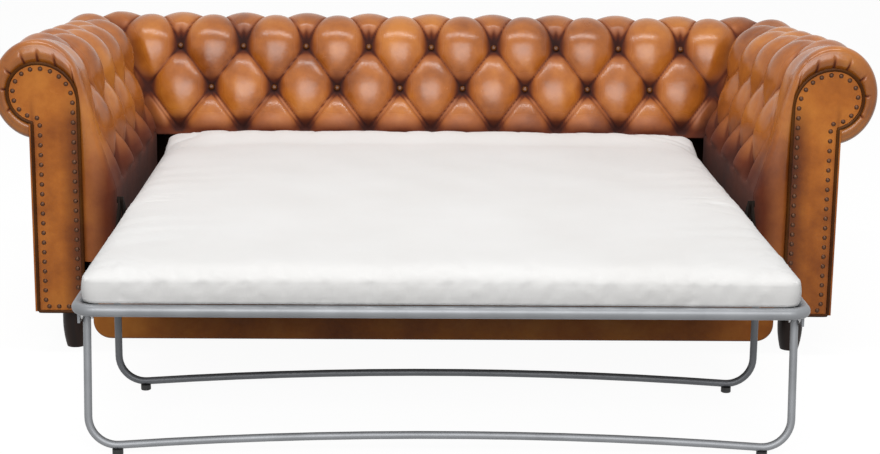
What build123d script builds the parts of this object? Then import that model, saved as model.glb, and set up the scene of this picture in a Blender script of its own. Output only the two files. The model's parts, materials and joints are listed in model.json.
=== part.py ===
"""Chesterfield sofa bed with a two-fold steel bed on parallel lift links, shown with the bed open.

Millimetres, +Z up, +X to the right as seen from the front, the bed folds out towards -Y.
The origin is on the floor, in the middle of the whole open bed and sofa.
"""

import os
from math import acos, asin, atan2, cos, hypot, pi, radians, sin, sqrt, tan

from build123d import *

# Overall sizes
INNER_WIDTH = 1500.0  # between the arm pads at seat height
INNER_DEPTH = 770.0  # arm front to the back pad at seat height
BED_REACH = 750.0  # foot end of the open bed, ahead of the arm fronts
SIDE_DEPTH = 275.0  # arm or back, from its pad to the outside of its roll
ROLL_RADIUS = 100.0  # the scroll along the top of the arms and back
ROLL_CENTRE_Z = 602.0
ARM_SWELL = 0.12  # the arms grow taller by this share towards their fronts
FOOT_HEIGHT = 100.0

# Section through an arm or the back, measured outwards from the pad
PAD_FOOT_Z = 392.0  # lower edge of the back pad, where the pads start to lean
ARM_PAD_FOOT_Z = 250.0  # lower edge of the arm pads
PAD_DEPTH = 125.0  # pad face to timber frame
FRAME_DEPTH = 60.0  # timber frame, inside to outside
COVER_THICKNESS = 10.0  # leather covered outside panels
RAIL_TOP_Z = 640.0  # top rail of the timber frames
RAIL_HEIGHT = 80.0

# Deep buttoning
BUTTON_PITCH = 173.0
BUTTON_ROW_GAP = 115.0
BUTTON_ROW_S = 252.0  # upper button row, up the pad from its lower edge
TUFT_DEPTH = 34.0  # buttons below the plain surface
TUFT_CROWN = 9.0  # pillows above the plain surface
CREASE_DEPTH = 14.0
BUTTON_RADIUS = 8.0
BUTTON_DOME = 4.0
BUTTON_STEM = 15.0
SEAT_GAP = 0.3  # between a soft piece and what it bears on

# Arm front
FACING_THICKNESS = 22.0
FACING_FOOT_WIDTH = 115.0
FACING_HEAD_RADIUS = 70.0
FACING_DROP = 7.0  # middle of the board's head below the middle of the roll
FACING_SHOULDER_RADIUS = 92.0
BORDER_THICKNESS = 20.0
BORDER_TUCK = 5.0  # border behind the board's edge, before the board is cut out of it
BORDER_ROUND = 12.0

# Base
BASE_THICKNESS = 40.0
BASE_UPRIGHT = 25.0
BASE_GAP = 2.0  # base rail behind the arm pad's face
BASE_UPRIGHT_TOP_Z = 244.0
FRONT_RAIL_TOP_Z = 220.0
FRONT_RAIL_FOOT_Z = 30.0
FRONT_RAIL_THICKNESS = 34.0
FRONT_RAIL_SETBACK = 12.0
FRONT_RAIL_CORNER = 42.0
FRONT_RAIL_OVERLAP = 62.0  # front rail past the arm pads
FRONT_RAIL_EDGE = 6.0
POST_LENGTH = 60.0
TACK_RAIL_HEIGHT = 45.0
REAR_RAIL_HEIGHT = 60.0
FOOT_OUT = 112.0  # foot centres outside the arm pads
FOOT_SETBACK = 62.0
FOOT_RADIUS = 30.0
REAR_FOOT_SETBACK = 78.0
REAR_FOOT_TOP = 56.0
REAR_FOOT_TAPER = 5.0
STILE_SHARE = 0.4  # upright stiles of the back frame, as a share of the half width
STILE_WIDTH = 50.0

# Bed
MATTRESS_HEAD_GAP = 2.0  # mattress short of the head end
MATTRESS_SIDE_GAP = 6.5  # mattress edge to the middle of a side tube
MATTRESS_THICKNESS = 62.0
MATTRESS_CROWN = 6.0
MATTRESS_EDGE = 14.0
MATTRESS_CORNER = 45.0
TUBE_RADIUS = 12.5
TUBE_WALL = 1.5
BED_SIDE_GAP = 28.5  # arm pad to the middle of a side tube
BED_CORNER = 35.0
RAIL_Z = 305.0
CROSS_RADIUS = 10.0
CROSS_SETBACK = 40.0
HINGE_AHEAD = 80.0  # fold hinge ahead of the arm fronts when the bed is open
HINGE_RISE = 2.0  # fold hinge above the mattress crown
HINGE_PLATE = 5.0
HINGE_PLATE_GAP = 1.0
HINGE_EYE = 7.5
EAR_GAP = 2.0  # hinge ears clear of the fold
HINGE_PLATE_LENGTH = 70.0
PIN_RADIUS = 5.0
PIN_CLEARANCE = 0.05
PIN_HEAD = 3.0
SLAT_WIDTH = 53.0
SLAT_THICKNESS = 8.0
SLAT_BOW = 4.0
SLAT_Z = 303.0  # underside at the ends
FOOT_SLATS = 4  # between the two leg pivots
FOLD_SLATS = 2  # between the mid leg and the fold
REAR_SLATS = 8
SLAT_GAP = 5.0  # slat holders clear of brackets and bars
CAP_LENGTH = 22.0
CAP_WALL = 4.0

# Legs
LEG_RADIUS = 8.0
LEG_WALL = 1.2
LEG_CORNER = 58.0
LEG_LEANS = {"front": 6.0, "mid": 0.0}  # degrees the legs lean ahead
LEG_BOW = 4.0  # degrees the floor bar climbs away from its glides
LEG_PIVOT_Z = 281.0
LEG_GAP = 4.0  # leg tube to its bracket
LEG_BRACKET_HALF = 14.0
LEG_BRACKET_DROP = 12.0  # bracket below the leg pivot
MID_LEG_SHARE = 0.69  # mid leg pivot, as a share of the front section from its foot end
LEG_PLATE = 5.0
LEG_PIN_RADIUS = 4.0
GLIDE_RADIUS = 11.0
GLIDE_HEIGHT = 12.0

# Lift links
LINK_LENGTH = 130.0
LINK_LEAN = 10.0  # degrees ahead of upright when open
LINK_WIDTH = 30.0
LINK_THICKNESS = 6.0
LIFT_PIVOT_Z = 270.0
LIFT_PIVOT_SHARES = (0.16, 0.62)  # upper pivots, as shares of the seat depth from the arm fronts
LIFT_PLATE = 5.0
LIFT_GAP = 2.0
BRACKET_HALF = 20.0
BRACKET_EDGE = 8.0
PLATE_AHEAD = 90.0  # lift plate ahead of the front pivot
PLATE_BEHIND = 190.0  # lift plate behind the rear pivot
PLATE_MARGIN = 10.0  # lift plate inside the base rail's height
BOLT_RADIUS = 7.0
BOLT_HEAD = 2.0
BOLT_INSET = 20.0
LINK_TUBE_RADIUS = 10.0

# Worked out from the sizes above
ARM_FRONT = (BED_REACH - INNER_DEPTH - SIDE_DEPTH) / 2
FOOT_END = ARM_FRONT - BED_REACH
BACK_FACE = ARM_FRONT + INNER_DEPTH
INNER_HALF = INNER_WIDTH / 2
FRONT_RAIL_HALF = INNER_HALF + FRONT_RAIL_OVERLAP
COVER_W = PAD_DEPTH + FRAME_DEPTH
OUTSIDE_W = COVER_W + COVER_THICKNESS
FRAME_IN = INNER_HALF + PAD_DEPTH
FRAME_OUT = INNER_HALF + COVER_W
REAR_IN = BACK_FACE + PAD_DEPTH
REAR_OUT = BACK_FACE + COVER_W
HINGE_Y = ARM_FRONT - HINGE_AHEAD
BED_HALF = INNER_HALF - BED_SIDE_GAP
MATTRESS_HALF = BED_HALF - MATTRESS_SIDE_GAP
MATTRESS_FOOT_Z = RAIL_Z + TUBE_RADIUS + 0.5
MATTRESS_TOP_Z = MATTRESS_FOOT_Z + MATTRESS_THICKNESS
HINGE_Z = MATTRESS_TOP_Z + MATTRESS_CROWN + HINGE_RISE
SIDES = {"left": -1, "right": 1}

# The plain pad surface: a leaning line that runs on into the roll.
ROLL_CENTRE_W = SIDE_DEPTH - ROLL_RADIUS
LEAN_REACH = hypot(ROLL_CENTRE_W, ROLL_CENTRE_Z - PAD_FOOT_Z)
LEAN_LENGTH = sqrt(LEAN_REACH**2 - ROLL_RADIUS**2)
LEAN_ANGLE = atan2(ROLL_CENTRE_Z - PAD_FOOT_Z, ROLL_CENTRE_W) + asin(ROLL_RADIUS / LEAN_REACH)
ROLL_START = LEAN_ANGLE + pi / 2
ROLL_END = -acos((OUTSIDE_W - ROLL_CENTRE_W) / ROLL_RADIUS)
PAD_LENGTH = LEAN_LENGTH + ROLL_RADIUS * (ROLL_START - ROLL_END)
OUTERMOST_S = LEAN_LENGTH + ROLL_RADIUS * ROLL_START
NOTCH_Z = ROLL_CENTRE_Z + ROLL_RADIUS * sin(ROLL_END)

os.makedirs("parts", exist_ok=True)


def keep(piece, name):
    """Labels a finished piece and writes its file."""
    piece.part.label = name
    export_step(piece.part, f"parts/{name}.step")


def block(x_range, y_range, z_range, mode=Mode.ADD):
    """A box between pairs of limits."""
    spans = [sorted(limits) for limits in (x_range, y_range, z_range)]
    with Locations(tuple((low + high) / 2 for low, high in spans)):
        Box(*(high - low for low, high in spans), mode=mode)


def pad_point(s, rise=0.0):
    """A point of the pad's section, s along the surface and rise above it: outwards, up."""
    if s <= 0:
        return -rise, PAD_FOOT_Z + s
    if s <= LEAN_LENGTH:
        normal = LEAN_ANGLE + pi / 2
        out = s * cos(LEAN_ANGLE) + rise * cos(normal)
        return out, PAD_FOOT_Z + s * sin(LEAN_ANGLE) + rise * sin(normal)
    angle = ROLL_START - (s - LEAN_LENGTH) / ROLL_RADIUS
    radius = ROLL_RADIUS + rise
    return ROLL_CENTRE_W + radius * cos(angle), ROLL_CENTRE_Z + radius * sin(angle)


def tuft_rise(v, s):
    """Height of the buttoned surface: pillows between diagonal creases, deepest at the buttons."""
    along = v / BUTTON_PITCH
    up = (s - BUTTON_ROW_S) / (2 * BUTTON_ROW_GAP)
    pillow = abs(sin(pi * (along + up)) * sin(pi * (along - up)))
    button = abs(cos(pi * (along + up)) * cos(pi * (along - up)))
    crown = (TUFT_CROWN + CREASE_DEPTH) * sqrt(pillow) - CREASE_DEPTH
    return crown - (TUFT_DEPTH - CREASE_DEPTH) * button**6 * (1 - pillow)


def pad_rows(foot_s):
    """Stations up the pad surface: half button rows, then a few round the outside of the roll."""
    half = BUTTON_ROW_GAP / 2
    rows = [BUTTON_ROW_S + half * k for k in range(-6, 5)]
    rows = [s for s in rows if s > half / 4]
    outside = (OUTERMOST_S + PAD_LENGTH) / 2
    return sorted({foot_s, 0.0}) + rows + [OUTERMOST_S, outside, PAD_LENGTH]


def polygon_face(corners):
    """A flat face through corner points."""
    return Face(Wire.make_polygon(corners, close=True))


def tufted_pad(stations, foot_s, rise_at, place):
    """A closed pad: the buttoned face, the flat sides that bear on the timber, and two flat ends.

    rise_at gives the height of the face at a station and a distance up the pad, and place
    gives the space point of a station and a point of the section.
    """
    rows = pad_rows(foot_s)
    inside = [(COVER_W, NOTCH_Z), (COVER_W, RAIL_TOP_Z), (PAD_DEPTH, RAIL_TOP_Z)]
    inside.append((PAD_DEPTH, PAD_FOOT_Z + foot_s))
    rises = [[rise_at(station, s) for s in rows] for station in stations]
    rings = []
    for station, heights in zip(stations, rises):
        section = [pad_point(s, rise) for s, rise in zip(rows, heights)] + inside
        rings.append([Vector(*place(station, w, z)) for w, z in section])
    count = len(rings[0])
    faces = [polygon_face(rings[0]), polygon_face(rings[-1])]
    for i in range(len(rings) - 1):
        for k in range(count):
            n = (k + 1) % count
            corners = [rings[i][k], rings[i + 1][k], rings[i + 1][n], rings[i][n]]
            if k >= len(rows) - 1:
                faces.append(polygon_face(corners))
                continue
            one_way = rises[i][k] + rises[i + 1][n]
            other_way = rises[i + 1][k] + rises[i][n]
            turn = 0 if one_way <= other_way else 1
            a, b, c, d = corners[turn:] + corners[:turn]
            faces += [polygon_face([a, b, c]), polygon_face([a, c, d])]
    return Solid(Shell(faces))


def faded(rise, s, foot_s):
    """Buttoning dies out at the lower edge and round the outside of the roll."""
    return rise if foot_s < s < OUTERMOST_S and s > 0 else 0.0


# Back pad, mitred to the arm pads at both ends
QUARTER = BUTTON_PITCH / 4
BACK_TUFTS = int((INNER_HALF - QUARTER) / BUTTON_PITCH)  # button spaces each side of the middle
BACK_FLAT = BACK_TUFTS * BUTTON_PITCH
MITRE_GAP = 0.2


def back_rise(station, s):
    """Height of the back's face: buttoned, with a plain crease at the mitred ends."""
    v, end = station
    rise = -CREASE_DEPTH if end == 1 else tuft_rise(v, s)
    return faded(rise, s, 0.0)


def back_place(station, w, z):
    """A back station and section point in space."""
    v, end = station
    side = 1 if v > 0 else -1
    x = v if end == 0 else side * (BACK_FLAT + end * (INNER_HALF + w - MITRE_GAP - BACK_FLAT))
    return x, BACK_FACE + w, z


middle = [(QUARTER * k, 0) for k in range(-4 * BACK_TUFTS, 4 * BACK_TUFTS + 1)]
right_end = [(BACK_FLAT + QUARTER, 0.5), (BACK_FLAT + 2 * QUARTER, 1)]
left_end = [(-v, end) for v, end in reversed(right_end)]
with BuildPart() as back_pad:
    add(tufted_pad(left_end + middle + right_end, 0.0, back_rise, back_place))
keep(back_pad, "back_pad")


# Arm pads, counted forwards from the back's face
ARM_TUFT_START = BUTTON_PITCH / 2
ARM_PAD_LENGTH = INNER_DEPTH - FACING_THICKNESS - SEAT_GAP
ARM_TUFT_COLUMNS = int((ARM_PAD_LENGTH - ARM_TUFT_START - QUARTER) / QUARTER)
ARM_FADE = 150.0  # the buttoning dies out over this length behind the arm front


def arm_rise(station, s):
    """Height of an arm's face: buttoned, plain at the front, creased at the mitre."""
    d, end = station
    if end == 1:
        return faded(-CREASE_DEPTH, s, ARM_PAD_FOOT_Z - PAD_FOOT_Z)
    show = min(1.0, (ARM_PAD_LENGTH - d) / ARM_FADE)
    return faded(show * tuft_rise(d - ARM_TUFT_START, s), s, ARM_PAD_FOOT_Z - PAD_FOOT_Z)


def swelled(d, z):
    """A height on the arm, raised in step with the distance d ahead of the back."""
    share = max(0.0, (d - ARM_TUFT_START) / (ARM_PAD_LENGTH - ARM_TUFT_START))
    return z + ARM_SWELL * share * max(0.0, z - PAD_FOOT_Z)


def arm_place(station, w, z):
    """An arm station and section point in space, on the right."""
    d, end = station
    d = d if end == 0 else ARM_TUFT_START - end * (ARM_TUFT_START + w - MITRE_GAP)
    return INNER_HALF + w, BACK_FACE - d, swelled(d, z)


arm_stations = [(0.0, 1), (ARM_TUFT_START / 2, 0.5)]
arm_stations += [(ARM_TUFT_START + QUARTER * k, 0) for k in range(ARM_TUFT_COLUMNS + 1)]
arm_stations.append((ARM_PAD_LENGTH, 0))
with BuildPart() as arm_pad:
    add(tufted_pad(arm_stations, ARM_PAD_FOOT_Z - PAD_FOOT_Z, arm_rise, arm_place))


def keep_pair(piece, name):
    """Keeps a right-hand piece and its mirror image on the left."""
    keep(piece, f"{name}_right")
    with BuildPart() as other:
        mirror(piece.part, about=Plane.YZ)
    keep(other, f"{name}_left")


keep_pair(arm_pad, "arm_pad")


# Buttons: a covered dome on a tapering shank that sits down in its tuft
BUTTON_TIP = 1.0
RIM = SEAT_GAP + BUTTON_STEM * 0.6
with BuildPart() as button:
    with BuildSketch(Plane.XZ):
        with BuildLine():
            Polyline((0, RIM + BUTTON_DOME), (0, SEAT_GAP), (BUTTON_TIP, SEAT_GAP), (BUTTON_RADIUS, RIM))
            shoulder = (BUTTON_RADIUS * 0.78, RIM + BUTTON_DOME * 0.66)
            ThreePointArc((BUTTON_RADIUS, RIM), shoulder, (BUTTON_TIP, RIM + BUTTON_DOME))
            Line((BUTTON_TIP, RIM + BUTTON_DOME), (0, RIM + BUTTON_DOME))
        make_face()
    revolve(axis=Axis.Z)


def button_plane(place, rise_at, station, s):
    """The plane a button sits on, square to the pad's lean."""
    w, z = pad_point(s, rise_at(station, s))
    w_out, z_out = pad_point(s, rise_at(station, s) + 10)
    foot = Vector(*place(station, w, z))
    return Plane(foot, z_dir=Vector(*place(station, w_out, z_out)) - foot)


UPPER_ROW = BUTTON_ROW_S
LOWER_ROW = BUTTON_ROW_S - BUTTON_ROW_GAP
back_spots = [((BUTTON_PITCH * k, 0), UPPER_ROW) for k in range(-BACK_TUFTS, BACK_TUFTS + 1)]
back_spots += [((BUTTON_PITCH * (k + 0.5), 0), LOWER_ROW) for k in range(-BACK_TUFTS, BACK_TUFTS)]
with BuildPart() as back_buttons:
    for station, s in back_spots:
        add(button.part.moved(Location(button_plane(back_place, back_rise, station, s))))
keep(back_buttons, "back_buttons")

ARM_BUTTONS = 3
arm_spots = [((ARM_TUFT_START + BUTTON_PITCH * k, 0), UPPER_ROW) for k in range(ARM_BUTTONS)]
arm_spots += [((BUTTON_PITCH * (k + 1), 0), LOWER_ROW) for k in range(ARM_BUTTONS)]
with BuildPart() as arm_buttons:
    for station, s in arm_spots:
        add(button.part.moved(Location(button_plane(arm_place, arm_rise, station, s))))
keep_pair(arm_buttons, "arm_buttons")


# Arm fronts: a scroll board, with the padded border of the roll round its head
FACING_IN = OUTSIDE_W - FACING_FOOT_WIDTH
HEAD_W = FACING_IN + FACING_SHOULDER_RADIUS
HEAD_TOP = swelled(ARM_PAD_LENGTH, ROLL_CENTRE_Z) - FACING_DROP + FACING_HEAD_RADIUS
HEAD_Z = HEAD_TOP - FACING_HEAD_RADIUS
SHOULDER_Z = HEAD_TOP - FACING_SHOULDER_RADIUS
HEAD_NOTCH_Z = HEAD_Z - sqrt(FACING_HEAD_RADIUS**2 - (OUTSIDE_W - HEAD_W) ** 2)
FRONT_PLANE = Plane(origin=(INNER_HALF, ARM_FRONT, 0), x_dir=(1, 0, 0), z_dir=(0, -1, 0))


def facing_outline(grow=0.0):
    """The scroll board's edge, outwards from the pad face and up."""
    low = FOOT_HEIGHT
    head = FACING_HEAD_RADIUS + grow
    slant = sqrt(0.5)
    left = FACING_IN - grow
    shoulder = FACING_SHOULDER_RADIUS + grow
    right = OUTSIDE_W
    notch = HEAD_Z - sqrt(head**2 - (right - HEAD_W) ** 2)
    Polyline((left, SHOULDER_Z), (left, low), (right, low), (right, notch))
    ThreePointArc((right, notch), (HEAD_W + head * cos(0.2), HEAD_Z + head * sin(0.2)), (HEAD_W, HEAD_Z + head))
    crest = (HEAD_W - shoulder * slant, SHOULDER_Z + shoulder * slant)
    ThreePointArc((HEAD_W, HEAD_Z + head), crest, (left, SHOULDER_Z))


with BuildPart() as arm_facing:
    with BuildSketch(FRONT_PLANE):
        with BuildLine():
            facing_outline()
        make_face()
    extrude(amount=-FACING_THICKNESS)
keep_pair(arm_facing, "arm_facing")

def front_point(s):
    """A point of the arm's section at its front: outwards, up."""
    w, z = pad_point(s)
    return w, swelled(ARM_PAD_LENGTH, z)


with BuildPart() as arm_border:
    with BuildSketch(FRONT_PLANE.offset(-(FACING_THICKNESS - BORDER_THICKNESS))):
        with BuildLine():
            low = FRONT_RAIL_TOP_Z + SEAT_GAP
            tucked = FACING_IN + BORDER_TUCK
            lean = front_point(0.0)
            tangent = front_point(LEAN_LENGTH)
            end = front_point(PAD_LENGTH)
            Polyline(tangent, lean, (0.0, low), (tucked, low), (tucked, end[1]), end)
            ThreePointArc(tangent, front_point((LEAN_LENGTH + PAD_LENGTH) / 2), end)
        make_face()
        with BuildLine():
            facing_outline(SEAT_GAP)
        make_face(mode=Mode.SUBTRACT)
    extrude(amount=-BORDER_THICKNESS)
    front_edges = arm_border.faces().sort_by(Axis.Y)[0].edges()
    fillet(front_edges.filter_by(GeomType.CIRCLE).sort_by(SortBy.LENGTH)[-1], BORDER_ROUND)
keep_pair(arm_border, "arm_border")


# Timber frames inside the arms and the back
ARM_BACK = ARM_FRONT + FACING_THICKNESS
TOP_RAIL = (RAIL_TOP_Z - RAIL_HEIGHT, RAIL_TOP_Z)
TACK_RAIL = (PAD_FOOT_Z, PAD_FOOT_Z + TACK_RAIL_HEIGHT)
FLOOR_RAIL = (FOOT_HEIGHT, FOOT_HEIGHT + REAR_RAIL_HEIGHT)
with BuildPart() as arm_frame:
    for rail in (TOP_RAIL, TACK_RAIL, FLOOR_RAIL):
        block((FRAME_IN, FRAME_OUT), (ARM_BACK, REAR_OUT), rail)
    for post in (ARM_BACK, REAR_OUT - POST_LENGTH):
        block((FRAME_IN, FRAME_OUT), (post, post + POST_LENGTH), (FOOT_HEIGHT, RAIL_TOP_Z))
keep_pair(arm_frame, "arm_frame")

STILE_X = STILE_SHARE * INNER_HALF
STILE_HALF = STILE_WIDTH / 2
with BuildPart() as back_frame:
    for rail in (TOP_RAIL, TACK_RAIL, FLOOR_RAIL):
        block((-FRAME_IN, FRAME_IN), (REAR_IN, REAR_OUT), rail)
    for x in (-STILE_X, STILE_X):
        block((x - STILE_HALF, x + STILE_HALF), (REAR_IN, REAR_OUT), (TACK_RAIL[1], TOP_RAIL[0]))
keep(back_frame, "back_frame")

# Base: stepped side rails and the leather covered front rail
BASE_IN = INNER_HALF + BASE_GAP
RAIL_BACK = ARM_FRONT + FRONT_RAIL_SETBACK + FRONT_RAIL_THICKNESS
with BuildPart() as base_rail:
    base_level = (FOOT_HEIGHT, FOOT_HEIGHT + BASE_THICKNESS)
    block((BASE_IN, FRAME_IN), (RAIL_BACK, REAR_IN), base_level)
    block((FRONT_RAIL_HALF, FRAME_IN), (ARM_BACK, RAIL_BACK), base_level)
    block((BASE_IN, BASE_IN + BASE_UPRIGHT), (RAIL_BACK, REAR_IN), (base_level[1], BASE_UPRIGHT_TOP_Z))
keep_pair(base_rail, "base_rail")

with BuildPart() as front_rail:
    with BuildSketch(Plane.XZ.offset(-RAIL_BACK)):
        with Locations((0, (FRONT_RAIL_TOP_Z + FRONT_RAIL_FOOT_Z) / 2)):
            Rectangle(2 * FRONT_RAIL_HALF, FRONT_RAIL_TOP_Z - FRONT_RAIL_FOOT_Z)
        fillet(vertices().group_by(Axis.Y)[0], FRONT_RAIL_CORNER)
    extrude(amount=FRONT_RAIL_THICKNESS)
    front_edges = faces().sort_by(Axis.Y)[0].edges()
    fillet(front_edges, FRONT_RAIL_EDGE)
keep(front_rail, "front_rail")

# Outside covers
with BuildPart() as outside_arm:
    with BuildSketch(Plane.YZ.offset(FRAME_OUT)):
        rear = REAR_OUT + COVER_THICKNESS
        foot = [(ARM_BACK, FOOT_HEIGHT), (rear, FOOT_HEIGHT)]
        top = [(rear, NOTCH_Z), (BACK_FACE - ARM_TUFT_START, NOTCH_Z), (ARM_BACK, front_point(PAD_LENGTH)[1])]
        Polygon(*foot, *top, align=None)
    extrude(amount=COVER_THICKNESS)
keep_pair(outside_arm, "outside_arm")

with BuildPart() as outside_back:
    block((-FRAME_OUT, FRAME_OUT), (REAR_OUT, REAR_OUT + COVER_THICKNESS), (FOOT_HEIGHT, NOTCH_Z))
keep(outside_back, "outside_back")

# Feet: turned in front, tapered blocks behind
FOOT_X = INNER_HALF + FOOT_OUT
FOOT_Y = ARM_FRONT + FOOT_SETBACK
with BuildPart() as turned_foot:
    with BuildSketch(Plane.XZ):
        with BuildLine():
            foot = (FOOT_RADIUS * 0.72, 0)
            top = (FOOT_RADIUS * 0.95, FOOT_HEIGHT)
            Polyline(foot, (0, 0), (0, FOOT_HEIGHT), top)
            Spline(top, (FOOT_RADIUS, FOOT_HEIGHT * 0.62), (FOOT_RADIUS * 0.9, FOOT_HEIGHT * 0.25), foot)
        make_face()
    revolve(axis=Axis.Z)

with BuildPart() as front_feet:
    for x in (-FOOT_X, FOOT_X):
        add(turned_foot.part.moved(Location((x, FOOT_Y, 0))))
keep(front_feet, "front_feet")

REAR_FOOT_Y = REAR_OUT - REAR_FOOT_SETBACK
with BuildPart() as rear_feet:
    with BuildSketch(Plane.XY.offset(FOOT_HEIGHT)):
        with Locations((-FOOT_X, REAR_FOOT_Y), (FOOT_X, REAR_FOOT_Y)):
            Rectangle(REAR_FOOT_TOP, REAR_FOOT_TOP)
    extrude(amount=-FOOT_HEIGHT, taper=REAR_FOOT_TAPER)
keep(rear_feet, "rear_feet")

# Lift plates on the base rails, with fixed pins for the links
PLATE_IN = BASE_IN - LIFT_PLATE
LINK_OUT = PLATE_IN - LIFT_GAP
LINK_IN = LINK_OUT - LINK_THICKNESS
LEAN_BACK = LINK_LENGTH * sin(radians(LINK_LEAN))
BASE_PIVOT_Z = LIFT_PIVOT_Z - LINK_LENGTH * cos(radians(LINK_LEAN))
UPPER_PIVOTS = [ARM_FRONT + share * INNER_DEPTH for share in LIFT_PIVOT_SHARES]
BASE_PIVOTS = [y + LEAN_BACK for y in UPPER_PIVOTS]
PLATE_FRONT = BASE_PIVOTS[0] - PLATE_AHEAD
PLATE_BACK = BASE_PIVOTS[1] + PLATE_BEHIND
PLATE_LEVEL = (FOOT_HEIGHT + PLATE_MARGIN, BASE_UPRIGHT_TOP_Z - PLATE_MARGIN)


def rod(radius, x_range, y, z, mode=Mode.ADD):
    """A round bar along X."""
    low, high = sorted(x_range)
    with Locations(((low + high) / 2, y, z)):
        Cylinder(radius, high - low, rotation=(0, 90, 0), mode=mode)


with BuildPart() as lift_plate:
    block((PLATE_IN, BASE_IN), (PLATE_FRONT, PLATE_BACK), PLATE_LEVEL)
    for y in BASE_PIVOTS:
        rod(PIN_RADIUS, (PLATE_IN, BASE_IN), y, BASE_PIVOT_Z, Mode.SUBTRACT)
keep_pair(lift_plate, "lift_plate")

with BuildPart() as base_pins:
    for y in BASE_PIVOTS:
        rod(PIN_RADIUS, (LINK_IN - PIN_CLEARANCE * 6, BASE_IN), y, BASE_PIVOT_Z)
        head = LINK_IN - PIN_CLEARANCE * 6
        rod(PIN_RADIUS * 1.6, (head - PIN_HEAD, head), y, BASE_PIVOT_Z)
    mirror(about=Plane.YZ)
keep(base_pins, "base_pins")

SWEEP = LINK_LENGTH + LINK_WIDTH / 2 + BOLT_RADIUS
BETWEEN = (BASE_PIVOTS[0] + SWEEP + BASE_PIVOTS[1] - LINK_WIDTH - BOLT_RADIUS) / 2
BOLT_SPOTS = [PLATE_FRONT + BOLT_INSET, BETWEEN - BOLT_INSET, BETWEEN + BOLT_INSET, PLATE_BACK - BOLT_INSET]
with BuildPart() as plate_bolts:
    for y in BOLT_SPOTS:
        for z in (PLATE_LEVEL[0] + BOLT_INSET, PLATE_LEVEL[1] - BOLT_INSET):
            rod(BOLT_RADIUS, (PLATE_IN - BOLT_HEAD, PLATE_IN), y, z)
    mirror(about=Plane.YZ)
keep(plate_bolts, "plate_bolts")


# Lift links, tied across the bed in pairs
TIE_UP = 35.0  # tie tube above the base pivot, along the link


def link_pair(y, name):
    """A left and a right link with a pin hole at each end."""
    with BuildPart() as links:
        with BuildSketch(Plane.YZ.offset(LINK_IN)):
            ends = [(y, BASE_PIVOT_Z), (y - LEAN_BACK, LIFT_PIVOT_Z)]
            with Locations(*ends):
                Circle(LINK_WIDTH / 2)
            make_hull()
            with Locations(*ends):
                Circle(PIN_RADIUS + PIN_CLEARANCE, mode=Mode.SUBTRACT)
        extrude(amount=LINK_THICKNESS)
        mirror(about=Plane.YZ)
    keep(links, name)


def link_tie(y, name):
    """The tube that ties a pair of links."""
    tie_y = y - TIE_UP * sin(radians(LINK_LEAN))
    tie_z = BASE_PIVOT_Z + TIE_UP * cos(radians(LINK_LEAN))
    with BuildPart() as tie:
        rod(LINK_TUBE_RADIUS, (-LINK_IN, LINK_IN), tie_y, tie_z)
        rod(LINK_TUBE_RADIUS - TUBE_WALL, (-LINK_IN, LINK_IN), tie_y, tie_z, Mode.SUBTRACT)
    keep(tie, name)


for place_name, y in zip(("front", "rear"), BASE_PIVOTS):
    link_pair(y, f"{place_name}_lift_links")
    link_tie(y, f"{place_name}_link_tie")


# Bed frames: bent side-and-end tubes with a cross bar by the fold
HEAD_END = BACK_FACE
FOLD_GAP = 8.0


def bed_tube(y_open, y_end, cross_y, name):
    """A U of tube, open towards the fold, with a coped cross bar."""
    way = 1 if y_end > y_open else -1
    turn = y_end - way * TUBE_RADIUS
    bore = TUBE_RADIUS - TUBE_WALL
    with BuildPart() as tube:
        rod(CROSS_RADIUS, (-BED_HALF, BED_HALF), cross_y, RAIL_Z)
        rod(CROSS_RADIUS - TUBE_WALL, (-BED_HALF, BED_HALF), cross_y, RAIL_Z, Mode.SUBTRACT)
        with BuildSketch(Plane.XZ.offset(-cross_y + 2 * CROSS_RADIUS)):
            with Locations((-BED_HALF, RAIL_Z), (BED_HALF, RAIL_Z)):
                Circle(bore)
        extrude(amount=-4 * CROSS_RADIUS, mode=Mode.SUBTRACT)
        with BuildLine():
            FilletPolyline(
                (BED_HALF, y_open, RAIL_Z),
                (BED_HALF, turn, RAIL_Z),
                (-BED_HALF, turn, RAIL_Z),
                (-BED_HALF, y_open, RAIL_Z),
                radius=BED_CORNER,
            )
        with BuildSketch(Plane(origin=(BED_HALF, y_open, RAIL_Z), z_dir=(0, way, 0))):
            Circle(TUBE_RADIUS)
            Circle(bore, mode=Mode.SUBTRACT)
        sweep()
    keep(tube, name)


bed_tube(HINGE_Y + FOLD_GAP, HEAD_END, HINGE_Y + CROSS_SETBACK, "rear_bed_frame")
bed_tube(HINGE_Y - FOLD_GAP, FOOT_END, HINGE_Y - CROSS_SETBACK, "front_bed_frame")

# Slats, slightly bowed, in end caps on the side tubes
CAP_HALF = SLAT_WIDTH / 2 + CAP_WALL
FRONT_LEG_Y = FOOT_END + TUBE_RADIUS + BED_CORNER + LEG_BRACKET_HALF + SEAT_GAP
MID_LEG_Y = FOOT_END + MID_LEG_SHARE * (HINGE_Y - FOOT_END)


def spread(low, high, count):
    """Slat places from one limit to another, the end holders just clear of both."""
    low, high = low + SLAT_GAP + CAP_HALF, high - SLAT_GAP - CAP_HALF
    return [low + (high - low) * k / (count - 1) for k in range(count)]


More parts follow.
